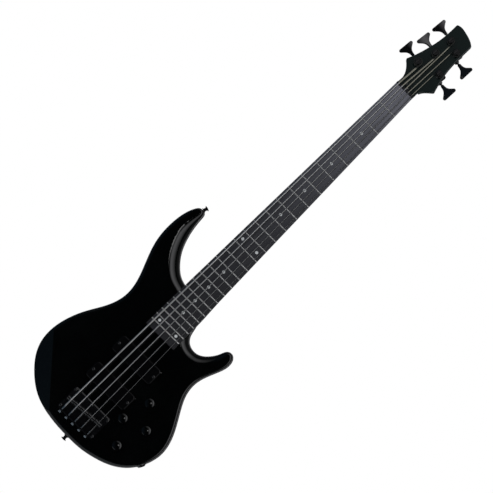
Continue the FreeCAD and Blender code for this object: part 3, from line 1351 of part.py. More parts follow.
# Saddles: each a block with a round crown, standing on two height screws, drawn by its intonation screw.
foot = plate_top - size.saddle_foot_gap
for path in string_paths:
    middle = path.over_saddle
    crown_top = middle.y + path.gauge / 2 - size.saddle_groove
    block = Part.makeBox(size.saddle_width, size.saddle_block_height, size.saddle_length,
                         Vector(middle.x - size.saddle_width / 2, foot - size.saddle_block_height,
                                middle.z - size.saddle_length / 2))
    crown = Part.makeCylinder(size.saddle_crown_radius, size.saddle_width,
                              Vector(middle.x - size.saddle_width / 2, crown_top + size.saddle_crown_radius,
                                     middle.z), Vector(1, 0, 0))
    reach = path.gauge / 2 + size.saddle_seat_gap
    rear = path.over_edges[0].Vertexes[0].Point
    bend_start = path.over_edges[0].Vertexes[-1].Point
    bend_end = path.over_edges[1].Vertexes[-1].Point
    ahead = bend_end + (path.over_nut - bend_end).normalize() * size.saddle_length
    groove = tube(path.over_edges + [Part.LineSegment(bend_end, ahead).toShape()], reach)
    low_side = [Vector(middle.x - reach, spot.y, spot.z) for spot in (rear, bend_start, bend_end, ahead)]
    high_side = [spot - Vector(0, size.overrun, 0) for spot in low_side[::-1]]
    opening = Part.Face(Part.makePolygon(low_side + high_side + low_side[:1]))
    opening = opening.extrude(Vector(2 * reach, 0, 0))
    bore = Part.makeCylinder(size.intonation_radius + size.fit_gap, 2 * size.saddle_length,
                             Vector(middle.x, screw_level, middle.z - size.saddle_length), Vector(0, 0, 1))
    saddle = block.fuse(crown).cut([groove, opening, bore])
    solids = []
    for side in (-1, 1):
        spot = Vector(middle.x + side * size.grub_spread / 2, plate_top - size.fit_gap, middle.z)
        length = size.saddle_block_height + size.saddle_foot_gap + size.grub_stand
        grub = Part.makeCylinder(size.grub_radius, length, spot, Vector(0, -1, 0))
        key = Part.makeCylinder(size.grub_key_radius, length / 2, spot - Vector(0, length / 2, 0),
                                Vector(0, -1, 0))
        solids.append(grub.cut(key))
        saddle = saddle.cut(Part.makeCylinder(size.grub_radius + size.fit_gap, length + size.overrun, spot,
                                              Vector(0, -1, 0)))
    solids.append(saddle.removeSplitter().Solids[0])
    keep(feature("saddle_" + path.name, Part.makeCompound(solids)), "saddle_" + path.name)
    head = Part.makeCylinder(size.intonation_head_radius, size.intonation_head_height,
                             Vector(0, 0, -size.intonation_head_height), Vector(0, 0, 1))
    slot = Part.makeBox(size.intonation_slot, 4 * size.intonation_head_radius, size.intonation_head_height,
                        Vector(-size.intonation_slot / 2, -2 * size.intonation_head_radius,
                               -1.5 * size.intonation_head_height))
    shank = Part.makeCylinder(size.intonation_radius, size.intonation_length)
    keep(feature("intonation_screw_" + path.name, head.cut(slot).fuse(shank),
                 Placement(Vector(middle.x, screw_level, flange_rear), Rotation())),
         "intonation_screw_" + path.name)

# Pickups: closed black covers with two coils side by side, each round its own bar magnet.
coils = []
magnets = []
for name, row in zip(PICKUPS, pickup_rows):
    shell = Part.makeBox(size.pickup_length, size.pickup_height, size.pickup_width,
                         Vector(-size.pickup_length / 2, pickup_top, row - size.pickup_width / 2))
    uprights = [edge for edge in shell.Edges if abs(edge.Vertexes[0].Y - edge.Vertexes[-1].Y) > size.fit_gap]
    shell = shell.makeFillet(size.pickup_corner_round, uprights)
    rims = [edge for edge in shell.Edges if edge.BoundBox.YMax < pickup_top + size.fit_gap]
    shell = shell.makeFillet(size.pickup_edge_round, rims)
    room_length = size.pickup_length - 2 * size.pickup_end_wall
    room_width = size.pickup_width - 2 * size.pickup_wall
    room = Part.makeBox(room_length, size.pickup_height, room_width,
                        Vector(-room_length / 2, pickup_top + size.pickup_wall, row - room_width / 2))
    shell = shell.cut(room)
    if name == "neck":
        exits = [(Vector(wire_lane, wire_level, row), Vector(0, 0, -1))]
    else:
        exits = [(Vector(wire_lane, wire_level, row), Vector(0, 0, 1)),
                 (Vector(wire_lane, wire_level, wire_line), Vector(1, 0, 0))]
    for spot, way in exits:
        shell = shell.cut(Part.makeCylinder(size.wire_channel_radius, size.pickup_length, spot, way))
    for place in pickup_screw_places:
        if abs(place.Base.z - row) < size.fit_gap:
            sink = lathe("pickup_sink", [
                ("0", "dims.overrun"),
                ("dims.pickup_screw_head_radius + dims.fit_gap", "dims.overrun"),
                ("dims.pickup_screw_head_radius + dims.fit_gap", "0"),
                ("dims.pickup_screw_radius + dims.fit_gap", "-dims.pickup_screw_head_height"),
                ("dims.pickup_screw_radius + dims.fit_gap", "-dims.pickup_screw_length"),
                ("0", "-dims.pickup_screw_length"),
            ]).Shape.copy()
            sink.Placement = place
            shell = shell.cut(sink)
    keep(feature(name + "_pickup_cover", shell), name + "_pickup_cover")
    ceiling = pickup_top + size.pickup_wall
    for side in (-1, 1):
        line = row + side * size.coil_spacing / 2
        straight = size.coil_length - size.coil_width
        core = Part.makeBox(straight, size.coil_height, size.coil_width,
                            Vector(-straight / 2, ceiling, line - size.coil_width / 2))
        ends = [Part.makeCylinder(size.coil_width / 2, size.coil_height,
                                  Vector(end * straight / 2, ceiling, line), Vector(0, 1, 0))
                for end in (-1, 1)]
        window = Part.makeBox(size.magnet_length + 2 * size.fit_gap, size.magnet_height,
                              size.magnet_width + 2 * size.fit_gap,
                              Vector(-size.magnet_length / 2 - size.fit_gap, ceiling,
                                     line - size.magnet_width / 2 - size.fit_gap))
        coils.append(core.multiFuse(ends).removeSplitter().cut(window).Solids[0])
        magnets.append(Part.makeBox(size.magnet_length, size.magnet_height, size.magnet_width,
                                    Vector(-size.magnet_length / 2, ceiling, line - size.magnet_width / 2)))
keep(feature("pickup_coils", Part.makeCompound(coils)), "pickup_coils")
keep(feature("pickup_magnets", Part.makeCompound(magnets)), "pickup_magnets")

# Controls: a pot under the wood, its shaft through the bush, a nut on the face and a knob over it.
pot_turned = lathe("pot_pattern", [
    ("dims.shaft_radius + dims.fit_gap", "dims.pot_bush_length"),
    ("dims.shaft_radius + dims.fit_gap", "-dims.pot_height / 2"),
    ("0", "-dims.pot_height / 2"),
    ("0", "-dims.pot_height"),
    ("dims.pot_radius", "-dims.pot_height"),
    ("dims.pot_radius", "0"),
    ("dims.pot_bush_radius", "0"),
    ("dims.pot_bush_radius", "dims.pot_bush_length"),
])
lug = Part.makeBox(size.pot_lug_width, size.pot_radius + size.pot_lug_length, size.pot_lug_thickness,
                   Vector(-size.pot_lug_width / 2, 0, -size.pot_height))
pot_shape = pot_turned.Shape.fuse(lug)
# Low dome of a knob as shares of its radius and of its height.
DOME_SHARES = [(1.0, 1.0), (0.8, 0.64), (0.6, 0.36), (0.4, 0.16), (0.2, 0.04)]
knob_turned = lathe("knob_pattern", [
    ("dims.shaft_radius", "dims.knob_gap + dims.knob_recess_depth"),
    ("dims.knob_recess_radius", "dims.knob_gap + dims.knob_recess_depth"),
    ("dims.knob_recess_radius", "dims.knob_gap"),
    ("dims.knob_radius", "dims.knob_gap"),
    ("dims.knob_top_radius", "dims.knob_gap + dims.knob_height - dims.knob_dome - dims.knob_round"),
] + [("(dims.knob_top_radius - dims.knob_round) * %s" % across,
      "dims.knob_gap + dims.knob_height - dims.knob_dome * %s" % drop) for across, drop in DOME_SHARES] + [
    ("0", "dims.knob_gap + dims.knob_height"),
    ("0", "dims.knob_gap + dims.knob_height - dims.knob_skin"),
    ("dims.shaft_radius", "dims.knob_gap + dims.knob_height - dims.knob_skin"),
])
shaft_turned = lathe("shaft_pattern", [
    ("0", "dims.knob_gap + dims.knob_height - dims.knob_skin"),
    ("dims.shaft_radius", "dims.knob_gap + dims.knob_height - dims.knob_skin"),
    ("dims.shaft_radius", "-dims.cavity_skin - dims.pot_height / 2 + dims.fit_gap"),
    ("0", "-dims.cavity_skin - dims.pot_height / 2 + dims.fit_gap"),
])
control_places = [Placement(spot, front) for spot in control_spots]
under_wood = Placement(Vector(0, 0, -size.cavity_skin), Rotation())
keep(feature("control_pots", copies(pot_shape, [place.multiply(under_wood) for place in control_places])),
     "control_pots")
for number, place in enumerate(control_places, start=1):
    keep(feature("control_knob_%d" % number, knob_turned.Shape, place), "control_knob_%d" % number)
    keep(feature("control_shaft_%d" % number, shaft_turned.Shape, place), "control_shaft_%d" % number)


def hex_nut(across_corners, height, bore):
    """Six-sided nut along Z standing on zero."""
    corners = []
    for corner in range(7):
        angle = corner * math.pi / 3
        corners.append(Vector(across_corners * math.cos(angle), across_corners * math.sin(angle), 0))
    block = Part.Face(Part.makePolygon(corners)).extrude(Vector(0, 0, height))
    return block.cut(Part.makeCylinder(bore, height))


def ring(outer, inner, height):
    """Flat washer along Z standing on zero."""
    return Part.makeCylinder(outer, height).cut(Part.makeCylinder(inner, height))


panel_pieces = []
pot_bore = size.pot_bush_radius + size.fit_gap
for place in control_places:
    washer = ring(size.washer_radius, pot_bore, size.washer_thickness)
    washer.Placement = place
    nut_piece = hex_nut(size.pot_nut_radius, size.pot_nut_height, pot_bore)
    nut_piece.Placement = place.multiply(Placement(Vector(0, 0, size.washer_thickness), Rotation()))
    panel_pieces.extend([washer, nut_piece])

# Output jack: a barrel jack in the rim with a round plate and a nut outside.
jack_place = facing(jack_spot, jack_way)
barrel = Part.makeCylinder(size.jack_radius, size.jack_depth - size.jack_plate_sink,
                           Vector(0, 0, -size.jack_depth))
thread_part = Part.makeCylinder(size.jack_thread_radius, size.jack_thread_stand,
                                Vector(0, 0, -size.jack_plate_sink))
jack_bore = Part.makeCylinder(size.jack_bore_radius, size.jack_bore_depth + size.overrun,
                              Vector(0, 0, -size.jack_bore_depth))
jack_barrel = barrel.fuse(thread_part).cut(jack_bore).removeSplitter().Solids[0]
jack_ring = ring(size.jack_plate_radius, size.jack_thread_radius + size.fit_gap, size.jack_plate_thickness)
jack_ring.translate(Vector(0, 0, -size.jack_plate_sink))
keep(feature("output_jack", Part.makeCompound([jack_barrel, jack_ring]), jack_place), "output_jack")
jack_nut = hex_nut(size.jack_plate_radius - size.jack_nut_height, size.jack_nut_height,
                   size.jack_thread_radius + size.fit_gap)
jack_nut.Placement = jack_place.multiply(
    Placement(Vector(0, 0, size.jack_plate_thickness - size.jack_plate_sink), Rotation()))
panel_pieces.append(jack_nut)
keep(feature("panel_nuts", Part.makeCompound(panel_pieces)), "panel_nuts")

# Wiring: a lead from each pickup to a pot, two links between pots, one lead from a pot to the jack.
pot_back = cavity_top + size.pot_height
loop_level = pot_back + size.wire_room


def behind(spot, depth):
    """The place of a control at another depth."""
    return Vector(spot.x, depth, spot.z)


def link(first, second):
    """Lead from the back of one pot to the back of another."""
    step = Vector(second.x - first.x, 0, second.z - first.z).normalize() * size.wire_end_step
    near = first + step
    far = second - step
    return [behind(near, pot_back), behind(near, loop_level), behind(far, loop_level), behind(far, pot_back)]


first_spot, second_spot, third_spot, fourth_spot = control_spots
neck_line = wire_line + size.wire_pitch
bridge_line = wire_line - size.wire_pitch
turn_across = (first_spot.x + second_spot.x) / 2
leads = [
    [Vector(wire_lane - size.wire_pitch, wire_level, pickup_rows[0]),
     Vector(wire_lane - size.wire_pitch, wire_level, neck_line),
     Vector(first_spot.x, wire_level, neck_line),
     Vector(first_spot.x, loop_level, neck_line),
     behind(first_spot, loop_level),
     behind(first_spot, pot_back)],
    [Vector(wire_lane + size.wire_pitch, wire_level, pickup_rows[1] - size.wire_end_step),
     Vector(wire_lane + size.wire_pitch, wire_level, bridge_line),
     Vector(turn_across, wire_level, bridge_line),
     Vector(turn_across, loop_level, bridge_line),
     behind(second_spot, loop_level),
     behind(second_spot, pot_back)],
    link(first_spot, fourth_spot),
    link(second_spot, third_spot),
    [behind(third_spot, pot_back), behind(third_spot, loop_level), jack_inner - jack_way * size.wire_room,
     jack_inner],
]
lead_tubes = []
for points in leads:
    edges, here = route(points, size.wire_bend)
    edges.append(Part.LineSegment(here, points[-1]).toShape())
    lead_tubes.append(tube(edges, size.wire_radius))
keep(feature("wiring", Part.makeCompound(lead_tubes)), "wiring")

# Last look at every object, then one file for each sub-part.
doc.recompute()
for thing in doc.Objects:
    if "Invalid" in thing.State or "Error" in thing.State:
        raise RuntimeError("not built: " + thing.Name)
os.makedirs("parts", exist_ok=True)
for node in nodes:
    if node.Shape.isNull() or not node.Shape.isValid():
        raise RuntimeError("bad shape: " + node.Label)
    node.Shape.exportStep("parts/%s.step" % node.Label)
print(len(nodes), "sub-parts written")
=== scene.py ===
import math

import bmesh
import bpy
import numpy
from mathutils import Matrix, Vector


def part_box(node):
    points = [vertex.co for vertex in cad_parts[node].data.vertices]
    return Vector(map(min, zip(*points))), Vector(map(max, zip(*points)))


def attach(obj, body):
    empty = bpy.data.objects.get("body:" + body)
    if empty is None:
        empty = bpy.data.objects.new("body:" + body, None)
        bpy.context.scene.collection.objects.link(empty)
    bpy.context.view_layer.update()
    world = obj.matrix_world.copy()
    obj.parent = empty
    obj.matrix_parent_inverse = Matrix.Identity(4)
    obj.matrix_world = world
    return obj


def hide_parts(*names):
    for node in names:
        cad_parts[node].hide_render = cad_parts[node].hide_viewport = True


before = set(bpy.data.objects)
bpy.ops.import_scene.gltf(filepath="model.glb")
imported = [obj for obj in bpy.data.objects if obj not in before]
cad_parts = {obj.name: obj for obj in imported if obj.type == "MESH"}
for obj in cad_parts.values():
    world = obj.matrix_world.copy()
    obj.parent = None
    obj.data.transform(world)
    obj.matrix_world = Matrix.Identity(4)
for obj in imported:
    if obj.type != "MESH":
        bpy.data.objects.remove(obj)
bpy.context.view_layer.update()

# Body: a slab of hardwood shaped with two horns, rounded edges and deep cutaway bevels.
# It is sealed, sprayed with black lacquer and polished, so it shows soft ripples and a faint haze.
LACQUER_BLACK = (0.0007, 0.0009, 0.0009, 1)
LACQUER_WORN = (0.0018, 0.0022, 0.0022, 1)
LACQUER_IOR = 1.5
RIPPLE_DETAIL = 2.0
RIPPLE_STRENGTH = 0.03
RIPPLE_DEPTH = 0.0003
HAZE_DETAIL = 5.0
HAZE_GRAIN = 0.62
HAZE_LOW = 0.35
HAZE_HIGH = 0.75
WEAR_LOW = 0.45
WEAR_HIGH = 0.8


def fresh_group(name, inputs, outputs):
    """Shader node group with float inputs and given outputs; returns the tree and its two end nodes."""
    tree = bpy.data.node_groups.new(name, "ShaderNodeTree")
    for label, value in inputs:
        socket = tree.interface.new_socket(label, in_out="INPUT", socket_type="NodeSocketFloat")
        socket.default_value = value
    for label, kind in outputs:
        tree.interface.new_socket(label, in_out="OUTPUT", socket_type=kind)
    start = tree.nodes.new("NodeGroupInput")
    end = tree.nodes.new("NodeGroupOutput")
    return tree, start, end


def add_noise(tree, place, scale, detail=3.0, roughness=0.5):
    """Noise texture read at a place; scale is a number or a socket."""
    noise = tree.nodes.new("ShaderNodeTexNoise")
    noise.inputs["Detail"].default_value = detail
    noise.inputs["Roughness"].default_value = roughness
    tree.links.new(place, noise.inputs["Vector"])
    if isinstance(scale, (int, float)):
        noise.inputs["Scale"].default_value = scale
    else:
        tree.links.new(scale, noise.inputs["Scale"])
    return noise.outputs["Fac"]


def add_range(tree, value, old_low, old_high, low, high):
    """Maps a value from one range to another; the new limits are numbers or sockets."""
    ramp = tree.nodes.new("ShaderNodeMapRange")
    tree.links.new(value, ramp.inputs["Value"])
    ramp.inputs["From Min"].default_value = old_low
    ramp.inputs["From Max"].default_value = old_high
    for label, limit in (("To Min", low), ("To Max", high)):
        if isinstance(limit, (int, float)):
            ramp.inputs[label].default_value = limit
        else:
            tree.links.new(limit, ramp.inputs[label])
    return ramp.outputs["Result"]


def add_mix(tree, share, first, second):
    """Mixes two colours; each is a tuple or a socket."""
    mix = tree.nodes.new("ShaderNodeMix")
    mix.data_type = "RGBA"
    tree.links.new(share, mix.inputs["Factor"])
    for socket, colour in ((mix.inputs[6], first), (mix.inputs[7], second)):
        if isinstance(colour, tuple):
            socket.default_value = colour
        else:
            tree.links.new(colour, socket)
    return mix.outputs[2]


def object_place(tree, stretch=(1, 1, 1)):
    """The piece's own coordinates, stretched along each axis."""
    place = tree.nodes.new("ShaderNodeTexCoord")
    turn = tree.nodes.new("ShaderNodeMapping")
    turn.inputs["Scale"].default_value = stretch
    tree.links.new(place.outputs["Object"], turn.inputs["Vector"])
    return turn.outputs["Vector"]


def fresh_material(name):
    """Material with a Principled shader and its output; returns material, tree and shader."""
    material = bpy.data.materials.new(name)
    material.use_nodes = True
    tree = material.node_tree
    tree.nodes.clear()
    shader = tree.nodes.new("ShaderNodeBsdfPrincipled")
    out = tree.nodes.new("ShaderNodeOutputMaterial")
    tree.links.new(shader.outputs["BSDF"], out.inputs["Surface"])
    return material, tree, shader


def use_group(tree, group, **values):
    """Places a shared effect in a material with its own values."""
    node = tree.nodes.new("ShaderNodeGroup")
    node.node_tree = group
    for label, value in values.items():
        node.inputs[label].default_value = value
    return node


def add_bump(tree, shader, height, strength, distance):
    """Relief from a height, fed to the shader's normal."""
    bump = tree.nodes.new("ShaderNodeBump")
    bump.inputs["Strength"].default_value = strength
    bump.inputs["Distance"].default_value = distance
    tree.links.new(height, bump.inputs["Height"])
    tree.links.new(bump.outputs["Normal"], shader.inputs["Normal"])


def dress(material, *names):
    """Gives a finish to the solids of these names."""
    for name in names:
        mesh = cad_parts[name].data
        mesh.materials.clear()
        mesh.materials.append(material)


polish, polish_in, polish_out = fresh_group(
    "lacquer_polish",
    [("Ripple", 160.0), ("Haze", 9.0), ("Gloss", 0.04), ("Dull", 0.12)],
    [("Roughness", "NodeSocketFloat"), ("Height", "NodeSocketFloat"), ("Wear", "NodeSocketFloat")])
polish_place = object_place(polish)
waves = add_noise(polish, polish_place, polish_in.outputs["Ripple"], RIPPLE_DETAIL)
polish.links.new(waves, polish_out.inputs["Height"])
haze = add_noise(polish, polish_place, polish_in.outputs["Haze"], HAZE_DETAIL, HAZE_GRAIN)
shine = add_range(polish, haze, HAZE_LOW, HAZE_HIGH, polish_in.outputs["Gloss"], polish_in.outputs["Dull"])
polish.links.new(shine, polish_out.inputs["Roughness"])
polish.links.new(add_range(polish, haze, WEAR_LOW, WEAR_HIGH, 0.0, 1.0), polish_out.inputs["Wear"])


def lacquer(name, ripple, gloss, dull, dark=LACQUER_BLACK, light=LACQUER_WORN):
    """Black lacquer with its own ripple and haze."""
    material, tree, shader = fresh_material(name)
    finish = use_group(tree, polish, Ripple=ripple, Gloss=gloss, Dull=dull)
    tree.links.new(add_mix(tree, finish.outputs["Wear"], dark, light), shader.inputs["Base Color"])
    tree.links.new(finish.outputs["Roughness"], shader.inputs["Roughness"])
    add_bump(tree, shader, finish.outputs["Height"], RIPPLE_STRENGTH, RIPPLE_DEPTH)
    shader.inputs["IOR"].default_value = LACQUER_IOR
    return material


body_lacquer = lacquer("body_lacquer", ripple=90.0, gloss=0.03, dull=0.08)
dress(body_lacquer, "body")

# Neck: a long lacquered shaft that swells into the headstock at one end and a square heel at the other.
# Four long screws through the body hold its heel; its lacquer is duller than the body's, with a green cast
# painted into its colour as a greenish reflection.
# Painted reflection: the green in these black lacquer colours stands in for a greenish reflection on the
# headstock's face.
NECK_BLACK_GREEN_SHEEN = (0.0026, 0.0085, 0.0075, 1)
NECK_WORN_GREEN_SHEEN = (0.0055, 0.0140, 0.0125, 1)
neck_lacquer = lacquer("neck_lacquer", ripple=110.0, gloss=0.06, dull=0.14, dark=NECK_BLACK_GREEN_SHEEN, light=NECK_WORN_GREEN_SHEEN)
dress(neck_lacquer, "neck")

# Neck screws: four long cross-head wood screws in black ferrules let into the body's back.
# All the screws of the instrument share this pattern: an oval head, a cross recess and a rolled thread.
PLATING_DARK = (0.0030, 0.0030, 0.0034, 1)
PLATING_LIGHT = (0.0070, 0.0070, 0.0080, 1)
FLECK_DETAIL = 4.0
FLECK_GRAIN = 0.6
FLECK_LOW = 0.35
FLECK_HIGH = 0.75
NOISE_LOW = 0.3
NOISE_HIGH = 0.7
FLECK_STRENGTH = 0.03
FLECK_DEPTH = 0.0001
plating, plating_in, plating_out = fresh_group(
    "black_plating", [("Fleck", 700.0), ("Gloss", 0.16), ("Dull", 0.34)],
    [("Color", "NodeSocketColor"), ("Roughness", "NodeSocketFloat"), ("Height", "NodeSocketFloat")])
plating_place = object_place(plating)
fleck = add_noise(plating, plating_place, plating_in.outputs["Fleck"], FLECK_DETAIL, FLECK_GRAIN)
fleck_share = add_range(plating, fleck, FLECK_LOW, FLECK_HIGH, 0.0, 1.0)
plating.links.new(add_mix(plating, fleck_share, PLATING_DARK, PLATING_LIGHT), plating_out.inputs["Color"])
sheen = add_range(plating, fleck, NOISE_LOW, NOISE_HIGH,
                  plating_in.outputs["Gloss"], plating_in.outputs["Dull"])
plating.links.new(sheen, plating_out.inputs["Roughness"])
plating.links.new(fleck, plating_out.inputs["Height"])


def black_metal(name, fleck_scale, gloss, dull, depth=1.7):
    """Black plated metal with its own grain, gloss and depth of film."""
    material, tree, shader = fresh_material(name)
    film = use_group(tree, plating, Fleck=fleck_scale, Gloss=gloss, Dull=dull)
    tree.links.new(film.outputs["Color"], shader.inputs["Base Color"])
    tree.links.new(film.outputs["Roughness"], shader.inputs["Roughness"])
    add_bump(tree, shader, film.outputs["Height"], FLECK_STRENGTH, FLECK_DEPTH)
    shader.inputs["IOR"].default_value = depth
    return material


def loose_parts(name):
    """Corners of each separate solid of a node, once its split corners are merged."""
    MERGE_WITHIN = 0.000001
    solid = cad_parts[name]
    shell = bmesh.new()
    shell.from_mesh(solid.data)
    bmesh.ops.remove_doubles(shell, verts=shell.verts, dist=MERGE_WITHIN)
    parts = []
    for start in shell.verts:
        if start.tag:
            continue
        start.tag = True
        queue = [start]
        for corner in queue:
            for edge in corner.link_edges:
                other = edge.other_vert(corner)
                if not other.tag:
                    other.tag = True
                    queue.append(other)
        parts.append(numpy.array([solid.matrix_world @ corner.co for corner in queue]))
    shell.free()
    return parts


def screw_seat(corners):
    """End of a screw's head, its facing, the head's radius and depth, the shank's radius and length."""
    NECK_LEAST = 0.5
    NECK_MOST = 1.1
    middle = corners.mean(axis=0)
    way = numpy.linalg.svd(corners - middle, full_matrices=False)[2][0]
    along = (corners - middle) @ way
    out = numpy.linalg.norm(corners - middle - numpy.outer(along, way), axis=1)
    if along[out.argmax()] < 0:
        way = -way
        along = -along
    shank = out[along < 0].max()
    neck = along[(out < shank * NECK_MOST) & (out > shank * NECK_LEAST)].max()
    return (Vector(middle + way * along.max()), Vector(way), out.max(), along.max() - neck, shank,
            along.max() - along.min())


def join_rings(shell, rings):
    """Faces between rings of corners that follow one another."""
    for lower, upper in zip(rings, rings[1:]):
        for index in range(len(lower)):
            after = (index + 1) % len(lower)
            shell.faces.new((lower[index], lower[after], upper[after], upper[index]))


def finish_mesh(shell, name, angle):
    """Mesh from a shell, smooth but for edges sharper than an angle."""
    bmesh.ops.recalc_face_normals(shell, faces=shell.faces)
    for face in shell.faces:
        face.smooth = True
    mesh = bpy.data.meshes.new(name)
    shell.to_mesh(mesh)
    shell.free()
    mesh.set_sharp_from_angle(angle=math.radians(angle))
    return mesh


def cross_screw(name, head_radius, head_depth, shank_radius, length):
    """One screw that faces +Z from its seat: oval head, cross recess, cone and thread."""
    SIDES = 24
    THREAD_STEPS = 6
    ARM_LONG_SHARE = 0.52
    ARM_WIDE_SHARE = 0.13
    RECESS_TAPER = 0.7
    RECESS_DEPTH_SHARE = 0.75
    OVAL_SHARE = 0.22
    CROWN_SHARE = 0.62
    SHOULDER_SHARE = 0.86
    SHOULDER_RISE = 0.62
    RIM_SHARE = 0.12
    CORE_SHARE = 0.74
    PITCH_SHARE = 0.9
    FIRST_TURN_SHARE = 1.2
    TIP_SHARE = 1.6
    POINT_SHARE = 0.2
    CREASE_ANGLE = 35
    shell = bmesh.new()

    def ring(radius, height):
        """Corners of one ring; the radius may depend on the angle."""
        corners = []
        for step in range(SIDES):
            turn = step / SIDES
            reach = radius(turn) if callable(radius) else radius
            corners.append(shell.verts.new((reach * math.cos(2 * math.pi * turn),
                                            reach * math.sin(2 * math.pi * turn), height)))
        return corners

    oval = head_radius * OVAL_SHARE
    rings = [ring(head_radius * CROWN_SHARE, oval), ring(head_radius * SHOULDER_SHARE, oval * SHOULDER_RISE),
             ring(head_radius, 0), ring(head_radius, -head_depth * RIM_SHARE),
             ring(shank_radius, -head_depth)]
    pitch = shank_radius * PITCH_SHARE
    depth = head_depth * FIRST_TURN_SHARE
    while depth < length - shank_radius * TIP_SHARE:
        def thread(turn, depth=depth):
            """Radius of the thread at an angle, at this depth."""
            rise = abs(((depth / pitch + turn) % 1) * 2 - 1)
            return shank_radius * (CORE_SHARE + (1 - CORE_SHARE) * rise)
        rings.append(ring(thread, -depth))
        depth += pitch / THREAD_STEPS
    rings.append(ring(shank_radius * CORE_SHARE * POINT_SHARE, -length))
    join_rings(shell, rings)
    shell.faces.new(rings[-1])
    long = head_radius * ARM_LONG_SHARE
    wide = head_radius * ARM_WIDE_SHARE
    quarter = [(long, -wide), (long, wide), (wide, wide)]
    outline = []
    for turn in range(4):
        for x, y in quarter:
            for again in range(turn):
                x, y = -y, x
            outline.append((x, y))
    mouth = [shell.verts.new((x, y, oval)) for x, y in outline]
    bottom = oval - head_depth * RECESS_DEPTH_SHARE
    floor = [shell.verts.new((x * RECESS_TAPER, y * RECESS_TAPER, bottom)) for x, y in outline]
    join_rings(shell, [floor, mouth])
    shell.faces.new(floor)
    shell.edges.ensure_lookup_table()
    loops = []
    for loop in (rings[0], mouth):
        loops.extend(shell.edges.get((loop[index - 1], loop[index])) for index in range(len(loop)))
    bmesh.ops.bridge_loops(shell, edges=loops)
    return bpy.data.objects.new(name, finish_mesh(shell, name, CREASE_ANGLE))


def geometry_tree(name, inputs):
    """Geometry Nodes tree with a geometry in and out and named inputs; gives tree, ends and identifiers."""
    tree = bpy.data.node_groups.new(name, "GeometryNodeTree")
    tree.interface.new_socket("Geometry", in_out="INPUT", socket_type="NodeSocketGeometry")
    names = {}
    for label, kind in inputs:
        names[label] = tree.interface.new_socket(label, in_out="INPUT", socket_type=kind).identifier
    tree.interface.new_socket("Geometry", in_out="OUTPUT", socket_type="NodeSocketGeometry")
    return tree, tree.nodes.new("NodeGroupInput"), tree.nodes.new("NodeGroupOutput"), names


screw_set, screw_in, screw_out, screw_names = geometry_tree(
    "screw_set", [("Screw", "NodeSocketObject"), ("Finish", "NodeSocketMaterial"), ("Seed", "NodeSocketInt")])
links = screw_set.links
pattern = screw_set.nodes.new("GeometryNodeObjectInfo")
links.new(screw_in.outputs["Screw"], pattern.inputs["Object"])
facing = screw_set.nodes.new("GeometryNodeInputNamedAttribute")
facing.data_type = "FLOAT_VECTOR"
facing.inputs["Name"].default_value = "facing"
align = screw_set.nodes.new("FunctionNodeAlignRotationToVector")
align.axis = "Z"
links.new(facing.outputs["Attribute"], align.inputs["Vector"])
placed = screw_set.nodes.new("GeometryNodeInstanceOnPoints")
links.new(screw_in.outputs["Geometry"], placed.inputs["Points"])
links.new(pattern.outputs["Geometry"], placed.inputs["Instance"])
links.new(align.outputs["Rotation"], placed.inputs["Rotation"])
chance = screw_set.nodes.new("FunctionNodeRandomValue")
chance.inputs[3].default_value = math.pi
links.new(screw_in.outputs["Seed"], chance.inputs["Seed"])
twist = screw_set.nodes.new("ShaderNodeCombineXYZ")
links.new(chance.outputs[1], twist.inputs["Z"])
turned = screw_set.nodes.new("GeometryNodeRotateInstances")
links.new(placed.outputs["Instances"], turned.inputs["Instances"])
links.new(twist.outputs["Vector"], turned.inputs["Rotation"])
real = screw_set.nodes.new("GeometryNodeRealizeInstances")
links.new(turned.outputs["Instances"], real.inputs["Geometry"])
paint = screw_set.nodes.new("GeometryNodeSetMaterial")
links.new(real.outputs["Geometry"], paint.inputs["Geometry"])
links.new(screw_in.outputs["Finish"], paint.inputs["Material"])
links.new(paint.outputs["Geometry"], screw_out.inputs["Geometry"])


def bake(carrier, tree, settings):
    """Runs a tree once on an object and keeps the result as its plain mesh."""
    bpy.context.scene.collection.objects.link(carrier)
    modifier = carrier.modifiers.new("pattern", "NODES")
    modifier.node_group = tree
    for identifier, value in settings.items():
        modifier[identifier] = value
    graph = bpy.context.evaluated_depsgraph_get()
    mesh = bpy.data.meshes.new_from_object(carrier.evaluated_get(graph))
    carrier.modifiers.clear()
    carrier.data = mesh
    return carrier


def fit_screws(name, finish, seed):
    """Cross-head screws in place of a node's plain ones."""
    seats = [screw_seat(part) for part in loose_parts(name)]
    sample = seats[0]
    pattern = cross_screw(name + "_pattern", *sample[2:])
    spots = bpy.data.meshes.new(name + "_spots")
    spots.from_pydata([seat[0] for seat in seats], [], [])
    facing = spots.attributes.new("facing", "FLOAT_VECTOR", "POINT")
    facing.data.foreach_set("vector", [number for seat in seats for number in seat[1]])
    screws = bake(bpy.data.objects.new("cross_" + name, spots), screw_set, {
        screw_names["Screw"]: pattern, screw_names["Finish"]: finish, screw_names["Seed"]: seed})
    bpy.data.objects.remove(pattern)
    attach(screws, "instrument")
    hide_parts(name)


screw_black = black_metal("screw_black", fleck_scale=900.0, gloss=0.14, dull=0.28)
fit_screws("neck_screws", screw_black, seed=1)
dress(screw_black, "neck_ferrules")

# Truss rod: a bare steel bar in a channel under the fingerboard, to straighten the neck against the strings.
# A thin black plastic cover, screwed to the headstock, hides its nut.
STEEL_DARK = (0.32, 0.32, 0.31, 1)
STEEL_LIGHT = (0.5, 0.5, 0.49, 1)
STEEL_STRETCH = (1, 1, 0.05)


